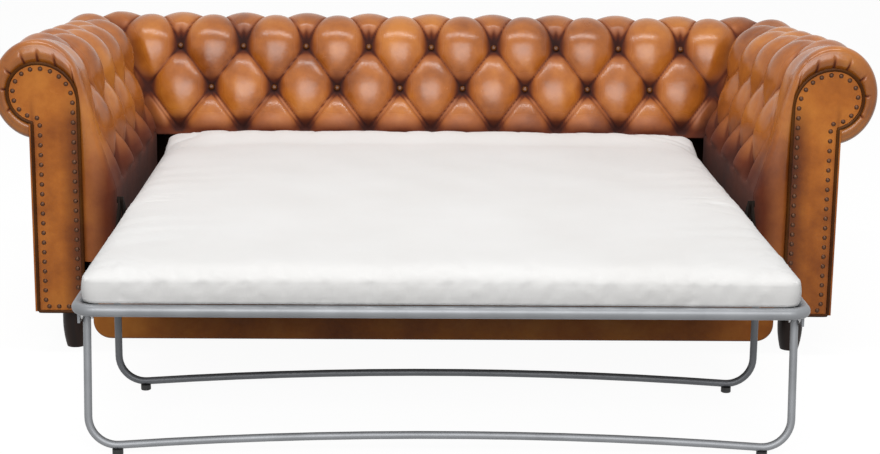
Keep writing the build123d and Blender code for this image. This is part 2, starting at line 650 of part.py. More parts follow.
FRONT_BAR_Y = HINGE_Y - CROSS_SETBACK - CROSS_RADIUS
REAR_BAR_Y = HINGE_Y + CROSS_SETBACK + CROSS_RADIUS
FRONT_SLAT_Y = spread(FRONT_LEG_Y + LEG_BRACKET_HALF, MID_LEG_Y - LEG_BRACKET_HALF, FOOT_SLATS)
FRONT_SLAT_Y += spread(MID_LEG_Y + LEG_BRACKET_HALF, FRONT_BAR_Y, FOLD_SLATS)
REAR_SLAT_Y = spread(REAR_BAR_Y, HEAD_END - TUBE_RADIUS - BED_CORNER, REAR_SLATS)
CAP_OUT = BED_HALF - TUBE_RADIUS
CAP_IN = CAP_OUT - CAP_LENGTH
SLAT_HALF = CAP_OUT - CAP_WALL
CAP_LEVEL = (SLAT_Z - CAP_WALL, SLAT_Z + SLAT_THICKNESS + CAP_WALL * 0.7)


def slat_set(spots, name):
    """Bowed slats across the bed."""
    with BuildPart() as slats:
        for y in spots:
            with BuildSketch(Plane.XZ.offset(-(y - SLAT_WIDTH / 2))):
                with BuildLine():
                    low = ThreePointArc((-SLAT_HALF, SLAT_Z), (0, SLAT_Z + SLAT_BOW), (SLAT_HALF, SLAT_Z))
                    high = SLAT_Z + SLAT_THICKNESS
                    Line(low @ 1, (SLAT_HALF, high))
                    ThreePointArc((SLAT_HALF, high), (0, high + SLAT_BOW), (-SLAT_HALF, high))
                    Line((-SLAT_HALF, high), low @ 0)
                make_face()
            extrude(amount=-SLAT_WIDTH)
    keep(slats, name)


def cap_set(spots, name):
    """Moulded holders for the slat ends, welded-on side to the tube."""
    half = CAP_HALF
    with BuildPart() as caps:
        for y in spots:
            block((CAP_IN, CAP_OUT), (y - half, y + half), CAP_LEVEL)
            slot = (SLAT_Z - SEAT_GAP, SLAT_Z + SLAT_THICKNESS + SEAT_GAP * 2)
            inner = SLAT_WIDTH / 2 + SEAT_GAP
            block((CAP_IN, SLAT_HALF + SEAT_GAP), (y - inner, y + inner), slot, Mode.SUBTRACT)
        mirror(about=Plane.YZ)
    keep(caps, name)


slat_set(REAR_SLAT_Y, "rear_slats")
slat_set(FRONT_SLAT_Y, "front_slats")
cap_set(REAR_SLAT_Y, "rear_slat_caps")
cap_set(FRONT_SLAT_Y, "front_slat_caps")

# Fold hinge: ears on both bed frames, above the side tubes
REAR_EAR = (BED_HALF - HINGE_PLATE / 2, BED_HALF + HINGE_PLATE / 2)
FRONT_EAR = (REAR_EAR[1] + HINGE_PLATE_GAP, REAR_EAR[1] + HINGE_PLATE_GAP + HINGE_PLATE)
FRONT_EAR_FOOT = RAIL_Z + sqrt(TUBE_RADIUS**2 - (FRONT_EAR[0] - BED_HALF) ** 2)


def hinge_ears(x_range, way, foot_z, hole, name):
    """A pair of ears that carry the fold hinge."""
    with BuildPart() as ears:
        with BuildSketch(Plane.YZ.offset(x_range[0])):
            with Locations((HINGE_Y, HINGE_Z)):
                Circle(HINGE_EYE)
            near = HINGE_Y + way * (FOLD_GAP + EAR_GAP)
            far = HINGE_Y + way * HINGE_PLATE_LENGTH
            with Locations(((near + far) / 2, foot_z + BRACKET_EDGE / 2)):
                Rectangle(abs(far - near), BRACKET_EDGE)
            make_hull()
            with Locations((HINGE_Y, HINGE_Z)):
                Circle(hole, mode=Mode.SUBTRACT)
        extrude(amount=x_range[1] - x_range[0])
        mirror(about=Plane.YZ)
    keep(ears, name)


hinge_ears(REAR_EAR, 1, RAIL_Z + TUBE_RADIUS, PIN_RADIUS + PIN_CLEARANCE, "rear_hinge_ears")
hinge_ears(FRONT_EAR, -1, FRONT_EAR_FOOT, PIN_RADIUS, "front_hinge_ears")

with BuildPart() as fold_pins:
    rod(PIN_RADIUS, (REAR_EAR[0], FRONT_EAR[1] + 0.2), HINGE_Y, HINGE_Z)
    rod(PIN_RADIUS * 1.6, (FRONT_EAR[1], FRONT_EAR[1] + PIN_HEAD), HINGE_Y, HINGE_Z)
    mirror(about=Plane.YZ)
keep(fold_pins, "fold_pins")

# Lift brackets under the rear bed frame and their pins
BRACKET = (BED_HALF - LIFT_PLATE / 2, BED_HALF + LIFT_PLATE / 2)
BRACKET_TOP = RAIL_Z - TUBE_RADIUS
with BuildPart() as lift_brackets:
    for y in UPPER_PIVOTS:
        with BuildSketch(Plane.YZ.offset(BRACKET[0])):
            with Locations((y, LIFT_PIVOT_Z)):
                Circle(LINK_WIDTH / 2)
            with Locations((y, BRACKET_TOP - BRACKET_EDGE / 2)):
                Rectangle(4 * BRACKET_HALF, BRACKET_EDGE)
            make_hull()
            with Locations((y, LIFT_PIVOT_Z)):
                Circle(PIN_RADIUS, mode=Mode.SUBTRACT)
        extrude(amount=LIFT_PLATE)
    mirror(about=Plane.YZ)
keep(lift_brackets, "lift_brackets")

with BuildPart() as lift_pins:
    for y in UPPER_PIVOTS:
        rod(PIN_RADIUS, (BRACKET[0], LINK_OUT + 0.8), y, LIFT_PIVOT_Z)
        rod(PIN_RADIUS * 1.6, (BRACKET[1], LINK_IN - PIN_CLEARANCE * 6), y, LIFT_PIVOT_Z)
    mirror(about=Plane.YZ)
keep(lift_pins, "lift_pins")


# Mattress, in two halves that meet at the fold
MATTRESS_MEET = 1.0
MATTRESS_FRONT_SETBACK = 12.0


def mattress_half(y_meet, y_free, name):
    """A crowned pad with drawn-in sides, rounded at its free corners."""
    half = MATTRESS_HALF
    foot = MATTRESS_FOOT_Z + SEAT_GAP
    way = 1 if y_free > y_meet else -1
    with BuildPart() as pad:
        with BuildSketch(Plane.XZ.offset(-y_meet)):
            with BuildLine():
                Polyline((-half + MATTRESS_EDGE, foot), (half - MATTRESS_EDGE, foot))
                for side in (-1, 1):
                    ThreePointArc(
                        (side * (half - MATTRESS_EDGE), foot),
                        (side * half, (foot + MATTRESS_TOP_Z) / 2),
                        (side * (half - MATTRESS_EDGE), MATTRESS_TOP_Z),
                    )
                ThreePointArc(
                    (-half + MATTRESS_EDGE, MATTRESS_TOP_Z),
                    (0, MATTRESS_TOP_Z + MATTRESS_CROWN),
                    (half - MATTRESS_EDGE, MATTRESS_TOP_Z),
                )
            make_face()
        extrude(amount=-(y_free - y_meet))
        with BuildSketch(Plane.XY.offset(foot)):
            with Locations((0, (y_meet + y_free) / 2)):
                Rectangle(2 * half, abs(y_free - y_meet))
            corners = vertices().group_by(Axis.Y)[-1 if way > 0 else 0]
            fillet(corners, MATTRESS_CORNER)
        extrude(amount=2 * MATTRESS_THICKNESS, mode=Mode.INTERSECT)
    keep(pad, name)


mattress_half(HINGE_Y + MATTRESS_MEET, HEAD_END - MATTRESS_HEAD_GAP, "mattress_rear")
mattress_half(HINGE_Y - MATTRESS_MEET, FOOT_END + MATTRESS_FRONT_SETBACK, "mattress_front")

# Legs: bent loops on pivots below the front bed frame
LEG_SPOTS = {"front": FRONT_LEG_Y, "mid": MID_LEG_Y}
BAR_Z = GLIDE_HEIGHT + LEG_RADIUS
LEG_BRACKET = (BED_HALF - LEG_PLATE / 2, BED_HALF + LEG_PLATE / 2)
LEG_HALF = LEG_BRACKET[0] - LEG_GAP - LEG_RADIUS
GLIDE_X = LEG_HALF - LEG_CORNER


BOW = radians(LEG_BOW)


def bend_point(part, side, bar):
    """A point round a leg's lower bend, from the leg to the floor bar, sideways and up from the pivot."""
    angle = part * (pi / 2 + BOW)
    return side * (GLIDE_X + LEG_CORNER * cos(angle)), bar + LEG_CORNER * (1 - sin(angle))


def leg_loop(y, lean, name):
    """A leg pair and floor bar bent from one tube in a leaning plane, with pin holes at its ends."""
    bar = (BAR_Z - LEG_PIVOT_Z) / cos(lean)
    plane = Plane(origin=(0, y, LEG_PIVOT_Z), x_dir=(1, 0, 0), z_dir=(0, -cos(lean), sin(lean)))
    start = plane.from_local_coords(Vector(LEG_HALF, LEG_RADIUS, 0))
    with BuildPart() as loop:
        with BuildLine(plane):
            for side in (1, -1):
                Line((side * LEG_HALF, LEG_RADIUS), (side * LEG_HALF, bar + LEG_CORNER))
                ThreePointArc(bend_point(0, side, bar), bend_point(0.5, side, bar), bend_point(1, side, bar))
            end_x, end_up = bend_point(1, 1, bar)
            ThreePointArc((end_x, end_up), (0, end_up + end_x * tan(BOW / 2)), (-end_x, end_up))
        with BuildSketch(Plane(origin=start, z_dir=-plane.y_dir)):
            Circle(LEG_RADIUS)
            Circle(LEG_RADIUS - LEG_WALL, mode=Mode.SUBTRACT)
        sweep()
        reach = LEG_HALF + 2 * LEG_RADIUS
        rod(LEG_PIN_RADIUS + PIN_CLEARANCE, (-reach, reach), y, LEG_PIVOT_Z, Mode.SUBTRACT)
    keep(loop, name)


def leg_glides(y, name):
    """Rubber glides under the floor bar."""
    with BuildPart() as glides:
        with Locations((-GLIDE_X, y, GLIDE_HEIGHT / 2), (GLIDE_X, y, GLIDE_HEIGHT / 2)):
            Cylinder(GLIDE_RADIUS, GLIDE_HEIGHT)
        fillet(glides.edges().group_by(Axis.Z)[0], 2)
    keep(glides, name)


for leg, y in LEG_SPOTS.items():
    lean = radians(LEG_LEANS[leg])
    leg_loop(y, lean, f"{leg}_leg_loop")
    leg_glides(y - (LEG_PIVOT_Z - BAR_Z) * tan(lean), f"{leg}_leg_glides")

with BuildPart() as leg_brackets:
    for y in LEG_SPOTS.values():
        level = (LEG_PIVOT_Z - LEG_BRACKET_DROP, RAIL_Z - TUBE_RADIUS)
        block(LEG_BRACKET, (y - LEG_BRACKET_HALF, y + LEG_BRACKET_HALF), level)
        rod(LEG_PIN_RADIUS, LEG_BRACKET, y, LEG_PIVOT_Z, Mode.SUBTRACT)
    mirror(about=Plane.YZ)
keep(leg_brackets, "leg_brackets")

with BuildPart() as leg_pins:
    for y in LEG_SPOTS.values():
        tip = LEG_HALF - LEG_RADIUS - 1.0
        rod(LEG_PIN_RADIUS, (tip, LEG_BRACKET[1]), y, LEG_PIVOT_Z)
        rod(LEG_PIN_RADIUS * 1.6, (tip - PIN_HEAD, tip), y, LEG_PIVOT_Z)
        collar = (LEG_HALF + LEG_RADIUS + 0.5, LEG_BRACKET[0])
        rod(LEG_PIN_RADIUS * 1.6, collar, y, LEG_PIVOT_Z)
    mirror(about=Plane.YZ)
keep(leg_pins, "leg_pins")
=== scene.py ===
"""Chesterfield sofa bed with its bed open: buttoned leather, a thin white mattress, a painted steel bed."""

import json

import bpy
import numpy as np
from mathutils import Matrix


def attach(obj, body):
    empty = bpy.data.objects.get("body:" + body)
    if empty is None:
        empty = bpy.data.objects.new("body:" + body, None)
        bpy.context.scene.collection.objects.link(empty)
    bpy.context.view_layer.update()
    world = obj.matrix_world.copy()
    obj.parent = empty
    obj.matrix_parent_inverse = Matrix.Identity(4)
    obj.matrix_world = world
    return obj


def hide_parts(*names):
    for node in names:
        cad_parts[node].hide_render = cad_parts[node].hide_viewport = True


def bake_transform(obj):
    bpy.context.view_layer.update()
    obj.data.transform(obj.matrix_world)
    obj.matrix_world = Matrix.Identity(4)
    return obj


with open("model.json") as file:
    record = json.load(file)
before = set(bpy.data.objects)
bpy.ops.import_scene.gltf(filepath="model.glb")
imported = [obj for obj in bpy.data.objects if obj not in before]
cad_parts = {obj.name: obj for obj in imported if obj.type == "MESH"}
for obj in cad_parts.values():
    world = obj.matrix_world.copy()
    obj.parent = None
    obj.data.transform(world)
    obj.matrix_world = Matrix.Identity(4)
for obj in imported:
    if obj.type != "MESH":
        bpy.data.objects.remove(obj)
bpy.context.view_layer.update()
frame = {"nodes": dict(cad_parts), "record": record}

# Sizes shared with the solids, in metres
INNER_HALF, ARM_FRONT, BACK_FACE, FOOT_END = 0.750, -0.1475, 0.6225, -0.8975
SIDE_DEPTH, ROLL_R, ROLL_Z, ARM_SWELL = 0.275, 0.100, 0.602, 0.12
PAD_FOOT_Z, ARM_PAD_FOOT_Z, BORDER_FOOT_Z = 0.392, 0.250, 0.2203
PAD_DEPTH, COVER_W, OUTSIDE_W, RAIL_TOP_Z = 0.125, 0.185, 0.195, 0.640
PITCH, ROW_GAP, ROW_S = 0.173, 0.115, 0.252
TOP_GAP = 0.220
TUFT, CROWN, CREASE = 0.034, 0.009, 0.014
FACING_T = 0.022
SNUG = 0.0003  # between a cover and what it meets
FOLD_Y = -0.2275
MATTRESS_FOOT_Z, MATTRESS_TOP_Z, MATTRESS_HALF = 0.3183, 0.380, 0.715

# The plain section: a leaning line that runs on into the roll
ROLL_W = SIDE_DEPTH - ROLL_R
REACH = np.hypot(ROLL_W, ROLL_Z - PAD_FOOT_Z)
LEAN = np.sqrt(REACH**2 - ROLL_R**2)
LEAN_ANGLE = np.arctan2(ROLL_Z - PAD_FOOT_Z, ROLL_W) + np.arcsin(ROLL_R / REACH)
ROLL_START = LEAN_ANGLE + np.pi / 2
ROLL_END = -np.arccos((OUTSIDE_W - ROLL_W) / ROLL_R)
PAD_LENGTH = LEAN + ROLL_R * (ROLL_START - ROLL_END)
NOTCH_Z = ROLL_Z + ROLL_R * np.sin(ROLL_END)
OUTERMOST = LEAN + ROLL_R * ROLL_START
TOP_ROW = ROW_S + ROW_GAP
ARM_TUFT_START = PITCH / 2
ARM_PAD_LENGTH = BACK_FACE - ARM_FRONT - FACING_T - SNUG


def ease(t):
    """A smooth step from 0 to 1: t squared times three less two t, held at its ends."""
    t = np.clip(t, 0.0, 1.0)
    return t * t * (3 - 2 * t)


def section(s, rise=0.0):
    """Outwards and up for a distance s up the pad: upright, then leaning, then round the roll.

    The point is moved along the section's normal by rise.
    """
    s = np.asarray(s, float)
    normal = LEAN_ANGLE + np.pi / 2
    turn = ROLL_START - (s - LEAN) / ROLL_R
    lean_w = s * np.cos(LEAN_ANGLE) + rise * np.cos(normal)
    lean_z = PAD_FOOT_Z + s * np.sin(LEAN_ANGLE) + rise * np.sin(normal)
    roll_w = ROLL_W + (ROLL_R + rise) * np.cos(turn)
    roll_z = ROLL_Z + (ROLL_R + rise) * np.sin(turn)
    w = np.where(s <= 0, -rise, np.where(s <= LEAN, lean_w, roll_w))
    z = np.where(s <= 0, PAD_FOOT_Z + s, np.where(s <= LEAN, lean_z, roll_z))
    return w, z


# Buttoning: heights and widths in metres, places across a pillow in shares of the pitch
PILLOW_ROUND = 0.03  # rounds the bottom of a crease
PIT_TOP, PIT_FADE = 0.05, 0.04  # pits end this far above the top row
TUCK_WIDTH, TUCK_START, TUCK_RUN, TUCK_DEPTH = 0.022, 0.02, 0.06, 0.004
SECOND_AT, SECOND_WIDTH, SECOND_DEPTH, SECOND_FADE = 0.43, 0.02, 0.0025, 0.02
FOOT_FADE, ROLL_FADE = 0.022, 0.13  # plain below and above these
# painted shade in the crease lines, pits, tucks and second lines
LINE_WIDTH, LINE_SHADE, PIT_SHADE, TUCK_SHADE, SECOND_SHADE = 0.07, 0.75, 0.95, 0.6, 0.5
# painted shade along the mitres
MITRE_FADE, MITRE_SHADE, MITRE_GAP = 0.06, 0.5, 0.0004
# painted shadow towards the foot of the pads, beside the mattress
LOW_SHADE, LOW_START, BACK_DARK_TO, ARM_DARK_TO = 0.12, 0.02, 0.08, 0.15
ARM_CROWN, PLAIN_FROM, PLAIN_RUN = 1.9, 0.03, 0.13
FACE_STEPS, ROLL_STEPS, SKIRT_STEPS, BACK_STATIONS, ARM_STATIONS = 150, 16, 12, 421, 221


def buttoned(v, s):
    """Height of the buttoning and a painted shade for its creases and pits, by distance along and up the pad.

    A root of the product of two diagonal sines makes pillows, with pits at their corners. Above the top row
    the diagonals draw out longer and die away round the outside of the roll. A short tuck stands over each
    top button, and below the lower row a second line runs beside each crease.
    """
    along = v / PITCH
    up = np.where(s < ROW_S, (s - ROW_S) / (2 * ROW_GAP), (s - ROW_S) / (2 * TOP_GAP))
    one, other = np.sin(np.pi * (along + up)), np.sin(np.pi * (along - up))
    pillow = np.abs(one * other)
    corner = np.abs(np.cos(np.pi * (along + up)) * np.cos(np.pi * (along - up)))
    domed = (np.sqrt(pillow + PILLOW_ROUND**2) - PILLOW_ROUND) / (1 - PILLOW_ROUND)
    height = (CROWN + CREASE) * domed - CREASE
    shown = 1 - ease((s - ROW_S - PIT_TOP) / PIT_FADE)
    height = height - (TUFT - CREASE) * corner**6 * (1 - pillow) * shown
    nearest = along - np.round(along)
    over = ease((s - ROW_S) / TUCK_START) * (1 - ease((s - ROW_S - TUCK_START) / TUCK_RUN))
    tuck = np.exp(-((nearest / TUCK_WIDTH) ** 2)) * over
    low = ease((ROW_S - ROW_GAP - s) / SECOND_FADE)
    beside = []
    for diagonal, offset in ((along + up + 0.5, SECOND_AT), (along - up + 0.5, -SECOND_AT)):
        beside.append(np.exp(-(((diagonal - np.round(diagonal) - offset) / SECOND_WIDTH) ** 2)))
    second = low * np.maximum(*beside)
    height = height - TUCK_DEPTH * tuck - SECOND_DEPTH * second
    fade = ease(s / FOOT_FADE) * (1 - ease((s - ROW_S - ROLL_FADE) / (OUTERMOST - ROW_S - ROLL_FADE)))
    # painted shade: darkest along the crease lines and in the pits
    thin = np.exp(-np.minimum(np.abs(one), np.abs(other)) / LINE_WIDTH)
    line = np.clip(thin + TUCK_SHADE * tuck + SECOND_SHADE * second, 0, 1)
    pit = corner**5 * (1 - pillow) * shown
    return height * fade, np.clip(1 - LINE_SHADE * line * fade - PIT_SHADE * pit * fade, 0, 1)


def swelled(d, z):
    """A height on the arm, raised in step with the distance d ahead of the back."""
    share = np.maximum(0, (d - ARM_TUFT_START) / (ARM_PAD_LENGTH - ARM_TUFT_START))
    return z + ARM_SWELL * share * np.maximum(0, z - PAD_FOOT_Z)


# Arm fronts, measured outwards from the arm pad
FACING_IN, FACING_FOOT_Z = OUTSIDE_W - 0.115, 0.100
SHOULDER_R, HEAD_R, FACING_DROP = 0.092, 0.070, 0.007
HEAD_W, HEAD_Z = FACING_IN + SHOULDER_R, swelled(ARM_PAD_LENGTH, ROLL_Z) - FACING_DROP
SHOULDER_Z = HEAD_Z + HEAD_R - SHOULDER_R
HEAD_END = -np.arccos((OUTSIDE_W - HEAD_W) / HEAD_R)
STRIP_W = 0.008  # of the outside, beyond the piping
ARC_STEPS = 40
TUCKS = np.radians([178, 141, 112, 91, 66, 33, 2, -34])


def grid_faces(rows, columns, closed=False):
    """Quads of a grid of points, row by row, with the columns joined round where closed."""
    r = np.arange(rows - 1)[:, None]
    c = np.arange(columns if closed else columns - 1)[None, :]
    n = (c + 1) % columns
    quads = np.stack([r * columns + c, r * columns + n, (r + 1) * columns + n, (r + 1) * columns + c], -1)
    return quads.reshape(-1, 4)


def enclosed(points, faces):
    """Six times the volume that the faces close in, with its sign, from the fan of each face."""
    total = 0.0
    for face in faces:
        corners = points[np.asarray(face)]
        first = corners[..., 0, :]
        for k in range(1, corners.shape[-2] - 1):
            total += np.sum(first * np.cross(corners[..., k, :], corners[..., k + 1, :]))
    return total


def make_piece(name, points, faces, material, body, hides=(), fold=None):
    """A mesh object at the origin from arrays of points and faces, turned to face outwards."""
    points = np.asarray(points, float).reshape(-1, 3)
    if enclosed(points, faces) < 0:
        faces = [np.asarray(f)[..., ::-1] for f in faces]
    polygons = []
    for face in faces:
        face = np.asarray(face)
        polygons += face.tolist() if face.ndim == 2 else [face.tolist()]
    mesh = bpy.data.meshes.new(name)
    mesh.from_pydata(points.tolist(), [], polygons)
    mesh.polygons.foreach_set("use_smooth", np.ones(len(mesh.polygons), bool))
    # fold holds painted shade: 1 is plain, lower darkens the hide
    if fold is not None:
        layer = mesh.attributes.new("fold", "FLOAT", "POINT")
        layer.data.foreach_set("value", np.asarray(fold, np.float32).ravel())
    mesh.materials.append(material)
    mesh.update()
    piece = bpy.data.objects.new(name, mesh)
    bpy.context.scene.collection.objects.link(piece)
    if body:
        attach(piece, body)
    if hides:
        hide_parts(*hides)
    return piece


def node_adder(tree):
    """A helper that adds nodes to a tree and links them by short calls."""

    def node(kind, settings=None, **links):
        made = tree.nodes.new(kind)
        for key, value in (settings or {}).items():
            if key in made.inputs:
                made.inputs[key].default_value = value
            else:
                setattr(made, key, value)
        for key, value in links.items():
            socket = made.inputs[int(key[1:])] if key[0] == "i" and key[1:].isdigit() else made.inputs[key]
            tree.links.new(value, socket)
        return made

    return node


def node_maker(name):
    """A new material with its tree, its shader and a helper that adds nodes."""
    material = bpy.data.materials.new(name)
    material.use_nodes = True
    tree = material.node_tree
    return material, tree, tree.nodes["Principled BSDF"], node_adder(tree)


def ramp_colours(ramp, stops):
    """Sets a colour ramp's stops from position and colour pairs."""
    elements = ramp.color_ramp.elements
    while len(elements) < len(stops):
        elements.new(0.5)
    for element, (position, colour) in zip(elements, stops):
        element.position = position
        element.color = (*colour, 1.0)


def leather(name, painted_shade=False, depth=1.0, edges=False, shadowed=False, shine=0.26):
    """Waxed tan hide: cloudy colour, fine pebble grain and a soft shine.

    A hide with painted shade is darker and duller where its fold attribute is low, as that attribute holds
    painted shade for creases, pits, mitres and the foot of each pad beside the mattress. A hide with edges
    darkens towards the two long edges of the scroll board, below its head. A shadowed hide has painted
    shadow, near black on its inner side.
    """
    material, tree, shader, node = node_maker(name)
    place = node("ShaderNodeTexCoord").outputs["Object"]
    cloud = node("ShaderNodeTexNoise", {"Scale": 6.0, "Detail": 6.0, "Roughness": 0.62}, Vector=place)
    tone = node("ShaderNodeValToRGB", Fac=cloud.outputs["Fac"])
    tones = [(0.32, (0.215, 0.055, 0.007)), (0.50, (0.37, 0.110, 0.0150)), (0.68, (0.50, 0.175, 0.027))]
    ramp_colours(tone, [(at, tuple(depth * c for c in colour)) for at, colour in tones])
    colour = tone.outputs["Color"]

    def darkened(colour, factor, stops, amount=None):
        shade = node("ShaderNodeValToRGB", Fac=factor)
        ramp_colours(shade, stops)
        blend = node("ShaderNodeMix", {"data_type": "RGBA", "blend_type": "MULTIPLY"})
        blend.inputs[0].default_value = 1.0
        if amount:
            tree.links.new(amount, blend.inputs[0])
        tree.links.new(colour, blend.inputs[6])
        tree.links.new(shade.outputs["Color"], blend.inputs[7])
        return blend.outputs[2]

    worn = node("ShaderNodeTexNoise", {"Scale": 22.0, "Detail": 4.0}, Vector=place)
    polish = node("ShaderNodeMapRange", {"To Min": 0.16, "To Max": 0.32}, Value=worn.outputs["Fac"])
    rough = polish.outputs["Result"]
    if painted_shade:
        fold = node("ShaderNodeAttribute", {"attribute_name": "fold"}).outputs["Fac"]
        # painted shade: the fold attribute darkens the colour in creases, pits, mitres and at the foot by the
        # mattress
        colour = darkened(colour, fold, PAINTED_SHADE_STOPS)
        dulling = {"From Min": 0.35, "From Max": 0.95, "To Min": 0.70, "To Max": 0.0}
        dull = node("ShaderNodeMapRange", dulling, Value=fold)
        rough = node("ShaderNodeMath", {"operation": "ADD"}, i0=rough, i1=dull.outputs["Result"]).outputs[0]
    if edges:
        axes = node("ShaderNodeSeparateXYZ", Vector=place)
        out = node("ShaderNodeMath", {"operation": "ABSOLUTE"}, i0=axes.outputs["X"])
        width = {"From Min": INNER_HALF + FACING_IN, "From Max": INNER_HALF + OUTSIDE_W}
        across = node("ShaderNodeMapRange", width, Value=out.outputs[0])
        height = {"From Min": HEAD_Z, "From Max": HEAD_Z - HEAD_R}
        low = node("ShaderNodeMapRange", height, Value=axes.outputs["Z"])
        colour = darkened(colour, across.outputs["Result"], EDGE_SHADES, low.outputs["Result"])
    # painted shadow: the panel darkens to near black towards its inner side
    if shadowed:
        deep = node("ShaderNodeSeparateXYZ", Vector=place).outputs["Y"]
        inside, outside = BACK_FACE + COVER_W, BACK_FACE + OUTSIDE_W
        through = node("ShaderNodeMapRange", {"From Min": inside, "From Max": outside}, Value=deep)
        colour = darkened(colour, through.outputs["Result"], INNER_SHADOW_STOPS)
    tree.links.new(colour, shader.inputs["Base Color"])
    tree.links.new(rough, shader.inputs["Roughness"])
    pebble = node("ShaderNodeTexVoronoi", {"Scale": 420.0, "feature": "DISTANCE_TO_EDGE"}, Vector=place)
    creases = node("ShaderNodeTexNoise", {"Scale": 55.0, "Detail": 6.0, "Roughness": 0.65}, Vector=place)
    grain = node("ShaderNodeBump", {"Strength": 0.16, "Distance": 0.0005}, Height=pebble.outputs["Distance"])
    surface = node("ShaderNodeBump", {"Strength": 0.18, "Distance": 0.003}, Height=creases.outputs["Fac"])
    tree.links.new(grain.outputs["Normal"], surface.inputs["Normal"])
    tree.links.new(surface.outputs["Normal"], shader.inputs["Normal"])
    shader.inputs["Specular IOR Level"].default_value = 0.5 if painted_shade else shine
    return material


def steel(name, colour, rough, metallic):
    """Painted tube: a metallic lacquer with a faint ripple and uneven gloss."""
    material, tree, shader, node = node_maker(name)
    place = node("ShaderNodeTexCoord").outputs["Object"]
    cloud = node("ShaderNodeTexNoise", {"Scale": 14.0, "Detail": 4.0}, Vector=place)
    tone = node("ShaderNodeValToRGB", Fac=cloud.outputs["Fac"])
    low, high = np.array(colour) * 0.88, np.minimum(np.array(colour) * 1.08, 1)
    ramp_colours(tone, [(0.3, tuple(low)), (0.7, tuple(high))])
    tree.links.new(tone.outputs["Color"], shader.inputs["Base Color"])
    fine = node("ShaderNodeTexNoise", {"Scale": 240.0, "Detail": 3.0}, Vector=place)
    spread = {"To Min": rough - 0.05, "To Max": rough + 0.08}
    gloss = node("ShaderNodeMapRange", spread, Value=fine.outputs["Fac"])
    tree.links.new(gloss.outputs["Result"], shader.inputs["Roughness"])
    skin = node("ShaderNodeBump", {"Strength": 0.08, "Distance": 0.0004}, Height=fine.outputs["Fac"])
    tree.links.new(skin.outputs["Normal"], shader.inputs["Normal"])
    shader.inputs["Metallic"].default_value = metallic
    return material


def timber(name, dark, light, rough, stretch=(2.0, 40.0, 40.0), shine=0.5):
    """Wood: bands of long noise drawn out along the grain, with fine pores in the bump."""
    material, tree, shader, node = node_maker(name)
    place = node("ShaderNodeTexCoord").outputs["Object"]
    drawn = node("ShaderNodeMapping", {"Scale": stretch}, Vector=place)
    banding = {"Scale": 1.0, "Detail": 6.0, "Distortion": 0.6}
    bands = node("ShaderNodeTexNoise", banding, Vector=drawn.outputs["Vector"])
    tone = node("ShaderNodeValToRGB", Fac=bands.outputs["Fac"])
    ramp_colours(tone, [(0.32, dark), (0.68, light)])
    tree.links.new(tone.outputs["Color"], shader.inputs["Base Color"])
    pores = node("ShaderNodeBump", {"Strength": 0.15, "Distance": 0.0006}, Height=bands.outputs["Fac"])
    tree.links.new(pores.outputs["Normal"], shader.inputs["Normal"])
    shader.inputs["Roughness"].default_value = rough
    shader.inputs["Specular IOR Level"].default_value = shine
    return material


def ticking(name):
    """Mattress cover: off-white knitted cloth with a fine weave and soft dimples."""
    material, tree, shader, node = node_maker(name)
    place = node("ShaderNodeTexCoord").outputs["Object"]
    cloud = node("ShaderNodeTexNoise", {"Scale": 3.5, "Detail": 4.0}, Vector=place)
    tone = node("ShaderNodeValToRGB", Fac=cloud.outputs["Fac"])
    ramp_colours(tone, [(0.3, (0.79, 0.78, 0.765)), (0.7, (0.83, 0.825, 0.815))])
    tree.links.new(tone.outputs["Color"], shader.inputs["Base Color"])
    yarn = {"Scale": 260.0, "Distortion": 1.0}
    warp = node("ShaderNodeTexWave", {**yarn, "bands_direction": "X"}, Vector=place)
    weft = node("ShaderNodeTexWave", {**yarn, "bands_direction": "Y"}, Vector=place)
    weave = node("ShaderNodeMath", {"operation": "MULTIPLY"}, i0=warp.outputs["Fac"], i1=weft.outputs["Fac"])
    thread = node("ShaderNodeBump", {"Strength": 0.25, "Distance": 0.0005}, Height=weave.outputs[0])
    rumple = node("ShaderNodeTexNoise", {"Scale": 11.0, "Detail": 5.0, "Distortion": 0.4}, Vector=place)
    soft = node("ShaderNodeBump", {"Strength": 0.25, "Distance": 0.006}, Height=rumple.outputs["Fac"])
    tree.links.new(thread.outputs["Normal"], soft.inputs["Normal"])
    tree.links.new(soft.outputs["Normal"], shader.inputs["Normal"])
    shader.inputs["Roughness"].default_value = 0.85
    shader.inputs["Sheen Weight"].default_value = 0.15
    return material


def moulded(name, colour, rough, shine=0.5):
    """Moulded rubber, plastic or thick matt paint: nearly even colour with a fine matt grain."""
    material, tree, shader, node = node_maker(name)
    place = node("ShaderNodeTexCoord").outputs["Object"]
    grain = node("ShaderNodeTexNoise", {"Scale": 600.0, "Detail": 2.0}, Vector=place)
    tone = node("ShaderNodeValToRGB", Fac=grain.outputs["Fac"])
    ramp_colours(tone, [(0.3, tuple(np.array(colour) * 0.8)), (0.7, tuple(np.array(colour) * 1.2))])
    tree.links.new(tone.outputs["Color"], shader.inputs["Base Color"])
    dull = node("ShaderNodeBump", {"Strength": 0.2, "Distance": 0.0003}, Height=grain.outputs["Fac"])
    tree.links.new(dull.outputs["Normal"], shader.inputs["Normal"])
    shader.inputs["Roughness"].default_value = rough
    shader.inputs["Specular IOR Level"].default_value = shine
    return material


# Ramps that darken a hide: painted shade by its fold attribute, a darker edge across an arm front, painted
# shadow through the back panel
PLAIN_SHADE = (1, 1, 1)
